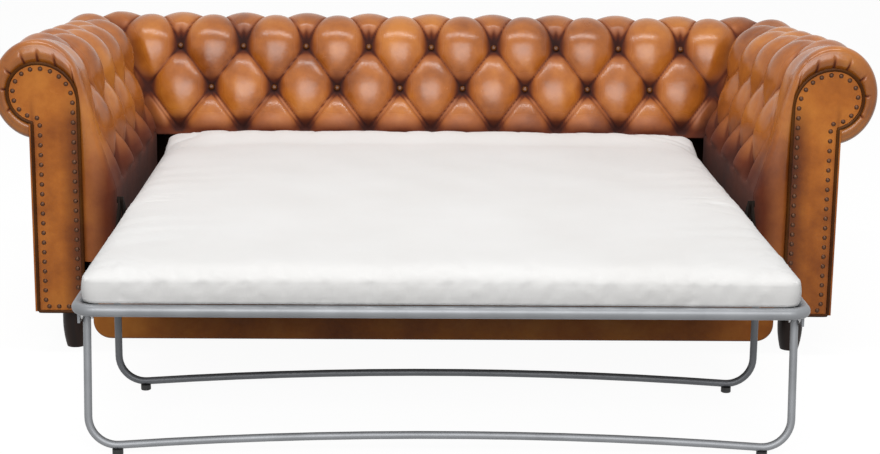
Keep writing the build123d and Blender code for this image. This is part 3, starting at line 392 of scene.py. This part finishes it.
# painted shade, from near black-red in the deepest creases and pits to plain
PAINTED_SHADE_STOPS = [
    (0.0, (0.09, 0.03, 0.015)),
    (0.35, (0.28, 0.15, 0.09)),
    (0.75, (0.83, 0.74, 0.66)),
    (1.0, PLAIN_SHADE),
]
EDGE_SHADES = [
    (0.0, (0.22, 0.16, 0.13)),
    (0.20, (0.50, 0.43, 0.38)),
    (0.42, PLAIN_SHADE),
    (0.84, PLAIN_SHADE),
    (0.93, (0.55, 0.48, 0.44)),
    (1.0, PLAIN_SHADE),
]
# painted shadow, near black on the inner side of the outside back
INNER_SHADOW_STOPS = [(0.2, (0.05, 0.05, 0.06)), (0.6, PLAIN_SHADE)]

# Finishes
HIDE = leather("tan hide, folded", painted_shade=True, depth=1.04)
FLAT_HIDE = leather("tan hide, flat", shine=0.16)
# the outside back, with painted shadow on its inner side
BACK_HIDE = leather("tan hide, lined back", shadowed=True)
# a lighter copy of the hide: painted light on the arm fronts, which face the lamps
FACING_HIDE = leather("tan hide, arm fronts", depth=1.32, edges=True)
DARK_HIDE = leather("dark edging hide", depth=0.22, shine=0.08)
# button leather at a third of the hide's colour: painted shade for buttons sunk in their pits
BUTTON_HIDE = leather("button hide", depth=0.32)
TUBE_PAINT = steel("silver tube paint", (0.29, 0.30, 0.315), 0.46, 0.45)
DARK_PAINT = steel("grey action paint", (0.13, 0.135, 0.145), 0.45, 0.5)
# near-black matt finish: painted shade, so the hinge ears and fold pins read as the shadow they sit in
EAR_SHADOW_BLACK = moulded("black hinge paint", (0.012, 0.008, 0.006), 0.9, 0.1)
BRIGHT_STEEL = steel("bright pin steel", (0.62, 0.62, 0.62), 0.3, 1.0)
OLD_BRASS = steel("bronzed nail heads", (0.10, 0.042, 0.02), 0.4, 0.6)
FOOT_WOOD = timber("stained foot wood", (0.008, 0.004, 0.003), (0.028, 0.012, 0.007), 0.5, (30, 30, 4), 0.2)
SLAT_WOOD = timber("birch slats", (0.55, 0.38, 0.20), (0.74, 0.58, 0.36), 0.55)
FRAME_WOOD = timber("stained frame timber", (0.07, 0.042, 0.022), (0.13, 0.082, 0.045), 0.8, (6, 6, 20))
COVER = ticking("mattress cover")
RUBBER = moulded("glide rubber", (0.018, 0.018, 0.018), 0.6)
CAP_BLACK = moulded("cap plastic", (0.03, 0.03, 0.032), 0.5)

FINISH = {
    "leather": FLAT_HIDE,
    "frame_timber": FRAME_WOOD,
    "foot_wood": FOOT_WOOD,
    "mattress_cloth": COVER,
    "bed_steel": TUBE_PAINT,
    "dark_steel": DARK_PAINT,
    "pin_steel": BRIGHT_STEEL,
    "slat_wood": SLAT_WOOD,
    "cap_plastic": CAP_BLACK,
    "glide_rubber": RUBBER,
}
SPECIAL = {
    "buttons": BUTTON_HIDE,
    "facing": FACING_HIDE,
    "outside_back": BACK_HIDE,
    # the hinge ears and fold pins get painted shade
    "hinge_ears": EAR_SHADOW_BLACK,
    "fold_pins": EAR_SHADOW_BLACK,
}
for part in frame["record"]["subparts"]:
    solid = frame["nodes"][part["node"]]
    solid.data.materials.clear()
    special = [finish for word, finish in SPECIAL.items() if word in part["node"]]
    solid.data.materials.append(special[0] if special else FINISH[part["material_slot"]])


def closed_pad(stations, s, foot_s, place, rise, shade, dark_to):
    """A pad as rings round its section, one ring per station: the buttoned face, then the sides inside it.

    The painted shade deepens towards the foot of the pad, below dark_to, as shadow beside the mattress.
    """
    w, z = section(s[None, :], rise)
    inner_w = np.array([COVER_W, COVER_W, PAD_DEPTH, PAD_DEPTH])
    inner_z = np.array([NOTCH_Z, RAIL_TOP_Z, RAIL_TOP_Z, PAD_FOOT_Z + foot_s])
    count = len(stations)
    w = np.concatenate([w, np.tile(inner_w, (count, 1))], 1)
    z = np.concatenate([z, np.tile(inner_z, (count, 1))], 1)
    points = place(w, z)
    columns = w.shape[1]
    ends = [np.arange(columns)[::-1], (count - 1) * columns + np.arange(columns)]
    # painted shadow towards the foot of the pad
    shade = shade * (LOW_SHADE + (1 - LOW_SHADE) * ease((s[None, :] + LOW_START) / (dark_to + LOW_START)))
    # the painted shade goes on as the fold attribute
    fold = np.concatenate([shade, np.ones((count, len(inner_w)))], 1)
    return points, [grid_faces(count, columns, True), *ends], fold


def face_steps():
    """Even distances up the pad to the outside of the roll, then fewer round to its end."""
    face = np.linspace(0, OUTERMOST, FACE_STEPS)
    return np.concatenate([face, np.linspace(OUTERMOST, PAD_LENGTH, ROLL_STEPS)[1:]])


def mitre_depth(s):
    """How deep the mitre lies: the crease depth, easing in at the foot and out round the roll."""
    return -CREASE * ease(s / FOOT_FADE) * (1 - ease((s - TOP_ROW) / (OUTERMOST - TOP_ROW)))


def back_cover():
    """The back's leather: columns fan out evenly to the mitres, which sink to the crease depth."""
    s = face_steps()
    share = np.linspace(-1, 1, BACK_STATIONS)
    seam = mitre_depth(s)
    seam_w, _ = section(s, seam)
    x = share[:, None] * (INNER_HALF + seam_w[None, :] - MITRE_GAP)
    near = ease((INNER_HALF + seam_w[None, :] - np.abs(x)) / MITRE_FADE)
    rise, shade = buttoned(x, s[None, :])
    rise = rise * near + seam[None, :] * (1 - near)

    def place(w, z):
        wide = np.concatenate([x, share[:, None] * (INNER_HALF + w[:, x.shape[1]:])], 1)
        return np.stack([wide, BACK_FACE + w, z], -1)

    # painted shade towards the mitres
    shade = shade * (MITRE_SHADE + (1 - MITRE_SHADE) * near)
    return closed_pad(share, s, 0.0, place, rise, shade, BACK_DARK_TO)


def arm_cover(side):
    """An arm's leather: columns from the arm front to the mitre, plain near the front.

    It reaches down to the base rail, and its pillows swell more than the back's.
    """
    foot_s = ARM_PAD_FOOT_Z - PAD_FOOT_Z
    s = np.concatenate([np.linspace(foot_s, 0, SKIRT_STEPS)[:-1], face_steps()])
    share = np.linspace(0, 1, ARM_STATIONS)
    seam = mitre_depth(s)
    seam_w, _ = section(s, seam)
    d = ARM_PAD_LENGTH - share[:, None] * (ARM_PAD_LENGTH + seam_w[None, :] - MITRE_GAP)
    near = ease((d + seam_w[None, :]) / MITRE_FADE)
    plain = ease((ARM_PAD_LENGTH - d - PLAIN_FROM) / PLAIN_RUN)
    rise, shade = buttoned(d - ARM_TUFT_START, s[None, :])
    rise = np.where(rise > 0, ARM_CROWN * rise, rise) * near * plain + seam[None, :] * (1 - near)
    # painted shade: the crease shade fades out near the front and deepens towards the mitre
    shade = (1 - (1 - shade) * plain) * (MITRE_SHADE + (1 - MITRE_SHADE) * near)

    def place(w, z):
        rest = ARM_PAD_LENGTH - share[:, None] * (ARM_PAD_LENGTH + w[:, d.shape[1]:])
        ahead = np.concatenate([d, rest], 1)
        return np.stack([side * (INNER_HALF + w), BACK_FACE - ahead, swelled(ahead, z)], -1)

    return closed_pad(share, s, foot_s, place, rise, shade, ARM_DARK_TO)


points, faces, fold = back_cover()
make_piece("back_cover", points, faces, HIDE, "sofa", ["back_pad"], fold)
for side, word in ((-1, "left"), (1, "right")):
    points, faces, fold = arm_cover(side)
    piece = make_piece(f"arm_cover_{word}", points, faces, HIDE, "sofa", [f"arm_pad_{word}"], fold)


def facing_edge(step, inset, outer):
    """Points round the scroll board at an even step, inset by a margin and by an outer strip's width.

    The line runs up the inner edge, over shoulder and head, down the outer edge and back along the foot.
    """
    low = FACING_FOOT_Z + inset
    left, right = FACING_IN + inset, OUTSIDE_W - inset - outer
    shoulder, head = SHOULDER_R - inset, HEAD_R - inset
    end = -np.arccos(np.clip((right - HEAD_W) / head, -1, 1))
    turn_a, turn_b = np.linspace(np.pi, np.pi / 2, ARC_STEPS), np.linspace(np.pi / 2, end, 2 * ARC_STEPS)
    runs = [
        np.array([(left, low), (left, SHOULDER_Z)]),
        np.stack([HEAD_W + shoulder * np.cos(turn_a), SHOULDER_Z + shoulder * np.sin(turn_a)], -1),
        np.stack([HEAD_W + head * np.cos(turn_b), HEAD_Z + head * np.sin(turn_b)], -1),
        np.array([(right, low), (left, low)]),
    ]
    line = np.concatenate(runs)
    length = np.concatenate([[0], np.cumsum(np.hypot(*np.diff(line, axis=0).T))])
    count = int(round(length[-1] / step))
    at = np.arange(count) * length[-1] / count
    return np.stack([np.interp(at, length, line[:, 0]), np.interp(at, length, line[:, 1])], -1)


# Padded border round an arm front
BORDER_ROUND, BORDER_DEEP, BORDER_SWELL, BORDER_SINK = 0.016, 0.020, 0.004, 0.006
SWELL_FROM, SWELL_RUN, PROUD = 0.4, 0.1, 0.003
PLEAT_DEPTH, PLEAT_TURN, PLEAT_BELOW = 0.0035, 0.035, 0.02
PLEAT_GROWTH, PLEAT_LEAD, PLEAT_START = 1.4, 0.3, 0.1
# painted shade in the pleats, along the rim by the facing and low on the inner side by the mattress
PLEAT_SHADE, RIM_SHADE, BORDER_SHADE = 0.7, 0.45, 0.90
SHADE_FOOT, SHADE_TOP = -0.04, 0.20
ROUND_STEPS, FLAT_STEPS, BORDER_STATIONS = 12, 14, 420


def border_cover(side):
    """The padded border round a facing: from the roll's edge round a quarter turn, then in to the facing.

    Pleats are thin notches at a few angles round the roll, deepest at the facing. Painted shade darkens the
    pleats, the rim by the facing and the low inner side beside the mattress.
    """
    foot_s = BORDER_FOOT_Z - PAD_FOOT_Z
    s = np.linspace(foot_s, PAD_LENGTH, BORDER_STATIONS)
    turn = np.clip(ROLL_START - (s - LEAN) / ROLL_R, ROLL_END, ROLL_START)
    out_w, out_z = section(s, BORDER_SWELL * ease((s - LEAN * SWELL_FROM) / SWELL_RUN))
    out_z = swelled(ARM_PAD_LENGTH, out_z)
    up = (s - foot_s) / (LEAN - foot_s)
    shoulder = np.pi / 2 + (turn - np.pi / 2) * (np.pi / 2) / (ROLL_START - np.pi / 2)
    head = np.pi / 2 + (turn - np.pi / 2) * (np.pi / 2 - HEAD_END) / (np.pi / 2 - ROLL_END)
    over = turn > np.pi / 2
    in_w = np.where(over, HEAD_W + SHOULDER_R * np.cos(shoulder), HEAD_W + HEAD_R * np.cos(head))
    in_z = np.where(over, SHOULDER_Z + SHOULDER_R * np.sin(shoulder), HEAD_Z + HEAD_R * np.sin(head))
    in_w = np.where(s < LEAN, FACING_IN, in_w)
    in_z = np.where(s < LEAN, BORDER_FOOT_Z + up * (SHOULDER_Z - BORDER_FOOT_Z), in_z)
    gap = np.hypot(in_w - out_w, in_z - out_z)
    quarter = np.linspace(0, np.pi / 2, ROUND_STEPS)
    inward = np.concatenate([BORDER_ROUND * (1 - np.cos(quarter)), np.full(FLAT_STEPS, BORDER_ROUND)])
    inward = inward[:, None]
    flat = np.concatenate([np.zeros(ROUND_STEPS), np.linspace(0, 1, FLAT_STEPS + 1)[1:]])[:, None]
    share = (inward + flat * (gap[None, :] - BORDER_ROUND)) / gap[None, :]
    forward = np.concatenate([BORDER_DEEP * np.sin(quarter), np.full(FLAT_STEPS, BORDER_DEEP)])[:, None]
    swell = BORDER_SWELL * np.sin(np.pi * flat) - BORDER_SINK * flat**3
    notch = np.exp(-(((turn[:, None] - TUCKS[None, :]) / PLEAT_TURN) ** 2)).max(1) * (s > LEAN - PLEAT_BELOW)
    pleats = PLEAT_DEPTH * notch[None, :] * ease(flat * PLEAT_GROWTH + share * PLEAT_LEAD - PLEAT_START)
    w = out_w[None, :] + share * (in_w - out_w)[None, :]
    z = out_z[None, :] + share * (in_z - out_z)[None, :]
    y = np.maximum(ARM_FRONT + FACING_T - forward - swell + pleats, ARM_FRONT - PROUD)
    front = np.stack([side * (INNER_HALF + w), y, z], -1)
    behind = np.full(len(s), ARM_FRONT + FACING_T - SNUG)
    rear = np.stack([side * (INNER_HALF + w[-1]), behind, z[-1]], -1)[None]
    back = np.stack([side * (INNER_HALF + w[0]), behind, z[0]], -1)[None]
    points = np.concatenate([back, front, rear]).transpose(1, 0, 2)
    count, columns = points.shape[:2]
    # painted shade into the fold attribute: in the pleats, along the rim by the facing and low on the inner
    # side
    fold = np.ones((count, columns))
    fold[:, 1:-1] = 1 - PLEAT_SHADE * np.clip(pleats / PLEAT_DEPTH, 0, 1).T - RIM_SHADE * flat.T**8
    inside = np.concatenate([[1.0], (1 - share.mean(1)) ** 0.7, [0.0]])[None, :]
    low = 1 - ease((s - SHADE_FOOT) / (SHADE_TOP - SHADE_FOOT))
    fold *= 1 - BORDER_SHADE * low[:, None] * inside
    ends = [np.arange(columns)[::-1], (count - 1) * columns + np.arange(columns)]
    return points, [grid_faces(count, columns, True), *ends], fold


FORWARD = np.array([0.0, -1.0, 0.0])


def round_cord(line, radius, sides=8):
    """A closed cord: a circle carried round a closed line of points, square to its direction."""
    ahead = np.roll(line, -1, 0) - np.roll(line, 1, 0)
    ahead /= np.linalg.norm(ahead, axis=1, keepdims=True)
    across = np.cross(ahead, -FORWARD)
    across /= np.linalg.norm(across, axis=1, keepdims=True)
    turn = np.arange(sides) * 2 * np.pi / sides
    ring = np.cos(turn)[None, :, None] * across[:, None, :] - np.sin(turn)[None, :, None] * FORWARD
    points = line[:, None, :] + radius * ring
    points = np.concatenate([points, points[:1]])
    return points, [grid_faces(len(points), sides, True)]


# Piping and nail heads on an arm front, in metres
PIPING_R, PIPING_STEP = 0.0042, 0.008
NAIL_R, NAIL_H, NAIL_SUNK = 0.0058, 0.0036, 0.001
NAIL_PITCH, NAIL_INSET, NAIL_OUTER = 0.023, 0.0125, STRIP_W + 0.005
NAIL_SIDES, NAIL_NARROWING, NAIL_ROUNDING = 8, 0.68, 0.7


def nail_heads(spots, outward):
    """Domed nail heads that face one way: a sunk ring, a ring, a smaller raised ring and a crown each."""
    first = np.cross(outward, [0.3, 0.2, 0.9])
    first /= np.linalg.norm(first)
    second = np.cross(outward, first)
    turn = np.arange(NAIL_SIDES) * 2 * np.pi / NAIL_SIDES
    ring = NAIL_R * (np.cos(turn)[:, None] * first + np.sin(turn)[:, None] * second)
    raised = ring * NAIL_NARROWING + outward * NAIL_H * NAIL_ROUNDING
    tips = np.stack([outward * NAIL_H, -outward * NAIL_SUNK])
    shape = np.concatenate([ring - outward * NAIL_SUNK, ring, raised, tips])
    points = spots[:, None, :] + shape[None]
    foot = np.arange(NAIL_SIDES)
    rim, top = foot + NAIL_SIDES, foot + 2 * NAIL_SIDES
    after = np.roll(foot, -1)
    rim_after, top_after = after + NAIL_SIDES, after + 2 * NAIL_SIDES
    crown, base = np.full(NAIL_SIDES, 3 * NAIL_SIDES), np.full(NAIL_SIDES, 3 * NAIL_SIDES + 1)
    quads = np.concatenate([
        np.stack([foot, after, rim_after, rim], -1),
        np.stack([rim, rim_after, top_after, top], -1),
    ])
    caps = np.concatenate([np.stack([top, top_after, crown], -1), np.stack([after, foot, base], -1)])
    shift = np.arange(len(spots))[:, None, None] * len(shape)
    return points, [(quads[None] + shift).reshape(-1, 4), (caps[None] + shift).reshape(-1, 3)]


def on_facing(side, edge):
    """Points on the front of an arm's scroll board from pairs of outwards and up."""
    return np.stack([side * (INNER_HALF + edge[:, 0]), np.full(len(edge), ARM_FRONT), edge[:, 1]], -1)


for side, word in ((-1, "left"), (1, "right")):
    points, faces, fold = border_cover(side)
    hidden = [f"arm_border_{word}"]
    border = make_piece(f"arm_border_{word}_cover", points, faces, HIDE, "sofa", hidden, fold)
    points, faces = round_cord(on_facing(side, facing_edge(PIPING_STEP, 0.0, STRIP_W)), PIPING_R)
    make_piece(f"facing_piping_{word}", points, faces, DARK_HIDE, "sofa")
    points, faces = nail_heads(on_facing(side, facing_edge(NAIL_PITCH, NAIL_INSET, NAIL_OUTER)), FORWARD)
    make_piece(f"facing_nails_{word}", points, faces, OLD_BRASS, "sofa")


# Mattress: its plan, its edges, its fold and its walls, in metres
MATTRESS_HEAD, MATTRESS_END = BACK_FACE - 0.004, FOOT_END + 0.012
MATTRESS_MID, MATTRESS_LONG = (MATTRESS_HEAD + MATTRESS_END) / 2, (MATTRESS_HEAD - MATTRESS_END) / 2
MATTRESS_CORNER, SEAM_INSET, SEAM_RUN, SEAM_CLEAR = 0.034, 0.005, 0.02, 0.2
EDGE_DROP, EDGE_RUN, TOP_SINK, MID_CROWN = 0.020, 0.026, 0.015, 0.003
HEAD_LIFT, HEAD_LIFT_FROM = 0.026, 0.46
RIPPLE, SIDE_RIPPLE, END_RIPPLE, RIPPLE_RUN, RIPPLE_EDGE = 0.0018, 0.0022, 0.0020, 0.10, 0.03
FOLD_BAND, FOLD_HOLLOW, HOLLOW_RUN, FOLD_Z, FOLD_BLEND = 0.05, 0.014, 0.045, 0.35, 0.035
LINES_ACROSS, LINES_FRONT, LINES_FOLD, LINES_REAR, WALL_ROWS = 165, 70, 25, 86, 7
WALL_FULL, WALL_WAVE = 0.8, 0.072
CORE_HOLD, SWELL_LIMIT = 0.1, 0.008


def mattress_plan():
    """A grid over the mattress, finer at the fold, with each square corner pulled in to a round one."""
    fine = np.linspace(FOLD_Y - FOLD_BAND, FOLD_Y + FOLD_BAND, LINES_FOLD)
    front = np.linspace(MATTRESS_END, fine[0], LINES_FRONT)[:-1]
    rear = np.linspace(fine[-1], MATTRESS_HEAD, LINES_REAR)[1:]
    across = np.linspace(-MATTRESS_HALF, MATTRESS_HALF, LINES_ACROSS)
    x, y = np.meshgrid(across, np.concatenate([front, fine, rear]) - MATTRESS_MID, indexing="ij")
    straight_x, straight_y = MATTRESS_HALF - MATTRESS_CORNER, MATTRESS_LONG - MATTRESS_CORNER
    over_x, over_y = np.abs(x) - straight_x, np.abs(y) - straight_y
    far = np.hypot(np.maximum(over_x, 0), np.maximum(over_y, 0))
    outside = (over_x > 0) & (over_y > 0) & (far > MATTRESS_CORNER)
    pull = np.where(outside, MATTRESS_CORNER / np.maximum(far, 1e-9), 1.0)
    x = np.sign(x) * np.where(over_x > 0, straight_x + over_x * pull, np.abs(x))
    y = np.sign(y) * np.where(over_y > 0, straight_y + over_y * pull, np.abs(y))
    return x, y + MATTRESS_MID


def rumpled(x, y, edge_x, edge_y):
    """Soft ripples: long crossing waves, with shorter ones that die away from the sides and from the ends."""
    long = RIPPLE * np.sin(21 * x + 4 * np.sin(3.1 * y)) * np.sin(9 * y + 2.2 * np.sin(4.3 * x))
    sides = SIDE_RIPPLE * np.sin(46 * y + 3 * np.sin(5 * x) + 2.4 * np.sin(11 * y))
    ends = END_RIPPLE * np.sin(44 * x + 2.5 * np.sin(7 * y) + 2.2 * np.sin(13 * x))
    return long + sides * np.exp(-edge_x / RIPPLE_RUN) + ends * np.exp(-edge_y / RIPPLE_RUN)


def mattress_cover():
    """One thin mattress over both bed sections, and how firmly each of its points is held.

    The plan is rounded, a soft crown drops to sewn edges, and the sides swell between them. The underside is
    hollowed at the fold. The corners and the underside are held fast.
    """
    x, y = mattress_plan()
    from_mid = y - MATTRESS_MID
    edge_x, edge_y = MATTRESS_HALF - np.abs(x), MATTRESS_LONG - np.abs(from_mid)
    rounded = MATTRESS_CORNER - np.hypot(MATTRESS_CORNER - edge_x, MATTRESS_CORNER - edge_y)
    in_corner = (edge_x < MATTRESS_CORNER) & (edge_y < MATTRESS_CORNER)
    edge = np.maximum(np.where(in_corner, rounded, np.minimum(edge_x, edge_y)), 0)
    crown = EDGE_DROP * (1 - np.exp(-edge / EDGE_RUN)) + MID_CROWN * np.cos(np.pi * x / (2 * MATTRESS_HALF))
    crown += HEAD_LIFT * ease((y - HEAD_LIFT_FROM) / (MATTRESS_HEAD - HEAD_LIFT_FROM))
    crown += rumpled(x, y, edge_x, edge_y) * (1 - np.exp(-edge / RIPPLE_EDGE))
    hollow = FOLD_HOLLOW * np.exp(-(((y - FOLD_Y) / HOLLOW_RUN) ** 2))
    drawn_in = 1 - SEAM_INSET * np.exp(-edge / SEAM_RUN) / np.maximum(np.hypot(x, from_mid), SEAM_CLEAR)
    plan_x, plan_y = x * drawn_in, MATTRESS_MID + from_mid * drawn_in
    top = np.stack([plan_x, plan_y, MATTRESS_TOP_Z - TOP_SINK + crown], -1).reshape(-1, 3)
    low = np.stack([plan_x, plan_y, MATTRESS_FOOT_Z + hollow], -1).reshape(-1, 3)
    index = np.arange(x.size).reshape(x.shape)
    ring = np.concatenate([index[:-1, 0], index[-1, :-1], index[:0:-1, -1], index[0, :0:-1]])
    around = np.arange(len(ring))
    outline = np.stack([x.ravel(), y.ravel()], -1)[ring]
    levels = np.linspace(0, 1, WALL_ROWS + 2)[1:-1, None, None]
    walls = top[ring] * (1 - levels) + low[ring] * levels
    wave = 1 + WALL_WAVE * (np.sin(around * 0.55) * np.sin(around * 0.13))[:, None]
    seam = top[ring, :2]
    walls[..., :2] = seam + (outline - seam) * WALL_FULL * np.sin(np.pi * levels) * wave
    points = np.concatenate([top, low, walls.reshape(-1, 3)])
    wall_index = 2 * x.size + np.arange(WALL_ROWS * len(ring)).reshape(WALL_ROWS, -1)
    bands = np.concatenate([ring[None], wall_index, x.size + ring[None]])
    after = np.roll(bands, -1, 1)
    sides = np.stack([bands[:-1], after[:-1], after[1:], bands[1:]], -1).reshape(-1, 4)
    flat = grid_faces(*x.shape)
    sewn = (edge_x < 2 * MATTRESS_CORNER) & (edge_y < 2 * MATTRESS_CORNER)
    side_hold = np.where(sewn.ravel()[ring], 1.0, CORE_HOLD)
    sewn[[0, -1], :] = True
    sewn[:, [0, -1]] = True
    top_hold = np.where(sewn, 1.0, CORE_HOLD).ravel()
    held = np.concatenate([top_hold, np.ones(x.size), np.tile(side_hold, WALL_ROWS)])
    return points, [flat, x.size + flat[:, ::-1], sides], held


CLOTH_FRAMES = 20
CLOTH = {
    "quality": 5,
    "mass": 0.3,
    "tension_stiffness": 12.0,
    "compression_stiffness": 12.0,
    "shear_stiffness": 4.0,
    "bending_stiffness": 0.04,
    "use_pressure": True,
    "uniform_pressure_force": 4.0,
    "vertex_group_mass": "held",
    "pin_stiffness": 1.0,
    "shrink_min": -0.025,
    "shrink_max": -0.025,
}


def points_of(mesh):
    """A mesh's points as an array, one row each."""
    points = np.empty(len(mesh.vertices) * 3)
    mesh.vertices.foreach_get("co", points)
    return points.reshape(-1, 3)


def simulated(piece, held, limit):
    """Lets a cover swell and wrinkle as cloth, each point tied to its core by a hold from 0 to 1.

    A point moves by the limit times the hyperbolic tangent of its move over the limit.
    """
    start = points_of(piece.data)
    group = piece.vertex_groups.new(name="held")
    for weight in np.unique(held):
        group.add(np.flatnonzero(held == weight).tolist(), float(weight), "REPLACE")
    cloth = piece.modifiers.new("cloth", "CLOTH")
    for setting, value in CLOTH.items():
        setattr(cloth.settings, setting, value)
    cloth.settings.effector_weights.gravity = 0.0
    cloth.collision_settings.use_collision = False
    cloth.point_cache.frame_start, cloth.point_cache.frame_end = 1, CLOTH_FRAMES
    scene = bpy.context.scene
    for count in range(1, CLOTH_FRAMES + 1):
        scene.frame_set(count)
    settled = piece.evaluated_get(bpy.context.evaluated_depsgraph_get())
    move = points_of(settled.data) - start
    far = np.linalg.norm(move, axis=1, keepdims=True)
    move *= np.tanh(far / limit) * limit / np.maximum(far, 1e-9)
    piece.modifiers.remove(cloth)
    piece.vertex_groups.clear()
    piece.data.vertices.foreach_set("co", (start + move).ravel())
    piece.data.update()
    scene.frame_set(1)


points, faces, held = mattress_cover()
hidden = ["mattress_front", "mattress_rear"]
mattress = make_piece("mattress_cover", points, faces, COVER, None, hidden)
simulated(mattress, held, SWELL_LIMIT)
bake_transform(mattress)

# Floor, light and camera
FLOOR_HALF, FLOOR_SHADE, FLOOR_GLOW = 40, 0.08, 0.95
SKY_LIGHT, SKY_SEEN = 0.30, 1.0


def seen_directly(node):
    """1 where a ray comes from the camera, a mirror-like surface or a clear one, 0 where it lights things."""
    path = node("ShaderNodeLightPath")
    camera, mirror = path.outputs["Is Camera Ray"], path.outputs["Is Glossy Ray"]
    either = node("ShaderNodeMath", {"operation": "ADD"}, i0=camera, i1=mirror).outputs[0]
    through = path.outputs["Is Transmission Ray"]
    return node("ShaderNodeMath", {"operation": "ADD", "use_clamp": True}, i0=either, i1=through).outputs[0]


def pale_floor():
    """A floor with little colour of its own that glows near white to the eye but lights nothing."""
    material, tree, shader, node = node_maker("pale floor")
    shader.inputs["Base Color"].default_value = (FLOOR_SHADE, FLOOR_SHADE, FLOOR_SHADE, 1)
    shader.inputs["Roughness"].default_value = 0.9
    shader.inputs["Specular IOR Level"].default_value = 0.0
    shader.inputs["Emission Color"].default_value = (1, 1, 1, 1)
    glow = node("ShaderNodeMath", {"operation": "MULTIPLY"}, i0=seen_directly(node))
    glow.inputs[1].default_value = FLOOR_GLOW
    tree.links.new(glow.outputs[0], shader.inputs["Emission Strength"])
    return material


floor_mesh = bpy.data.meshes.new("floor")
floor_corners = [(FLOOR_HALF * x, FLOOR_HALF * y, 0) for x, y in ((-1, -1), (1, -1), (1, 1), (-1, 1))]
floor_mesh.from_pydata(floor_corners, [], [(0, 1, 2, 3)])
floor_mesh.materials.append(pale_floor())
floor = bpy.data.objects.new("floor", floor_mesh)
bpy.context.scene.collection.objects.link(floor)

world = bpy.data.worlds.new("studio")
world.use_nodes = True
sky = world.node_tree
back_light = sky.nodes["Background"]
back_light.inputs["Color"].default_value = (1, 1, 1, 1)
sky_node = node_adder(sky)
levels = {"To Min": SKY_LIGHT, "To Max": SKY_SEEN}
level = sky_node("ShaderNodeMapRange", levels, Value=seen_directly(sky_node))
sky.links.new(level.outputs["Result"], back_light.inputs["Strength"])
bpy.context.scene.world = world


def facing_matrix(right, up, back, place):
    """The matrix of a lamp or camera at a place, from its right, its up and the way behind it."""
    return Matrix([*np.column_stack([right, up, back, place]).tolist(), (0, 0, 0, 1)])


def lamp(name, place, target, size, power):
    """A soft box at a place, turned to a target, of a width and a height."""
    light = bpy.data.lights.new(name, "AREA")
    light.shape, light.energy = "RECTANGLE", power
    light.size, light.size_y = size
    made = bpy.data.objects.new(name, light)
    bpy.context.scene.collection.objects.link(made)
    away = np.subtract(place, target)
    away /= np.linalg.norm(away)
    right = np.cross([0, 0, 1.0], away)
    right /= np.linalg.norm(right)
    made.matrix_world = facing_matrix(right, np.cross(away, right), away, place)


lamp("front", (-0.2, -6.5, 3.5), (0, 0.2, 0.4), (6.0, 3.4), 322)
lamp("over the seat", (-0.1, -0.4, 3.0), (0, 0.4, 0.4), (3.4, 0.20), 43)

# Camera: its place in metres, its turns in radians and its lens
CAM_PLACE = (-0.0906, -4.4548, 1.2829)
YAW, PITCH_DOWN, TURN = 0.02322, 0.22193, 0.01146
SENSOR, FOCAL_PIXELS, PICTURE_PIXELS = 36.0, 1877.7, 880
level_right = np.array([np.cos(YAW), -np.sin(YAW), 0])
flat_ahead = np.array([np.sin(YAW), np.cos(YAW), 0])
ahead = np.cos(PITCH_DOWN) * flat_ahead - np.array([0, 0, np.sin(PITCH_DOWN)])
level_up = np.cross(level_right, ahead)
right = np.cos(TURN) * level_right + np.sin(TURN) * level_up
up = np.cos(TURN) * level_up - np.sin(TURN) * level_right
lens = bpy.data.cameras.new("camera")
lens.sensor_fit, lens.sensor_width = "HORIZONTAL", SENSOR
lens.lens = SENSOR * FOCAL_PIXELS / PICTURE_PIXELS
camera = bpy.data.objects.new("camera", lens)
bpy.context.scene.collection.objects.link(camera)
camera.matrix_world = facing_matrix(right, up, -ahead, CAM_PLACE)
bpy.context.scene.camera = camera
bpy.context.scene.view_settings.view_transform = "Standard"
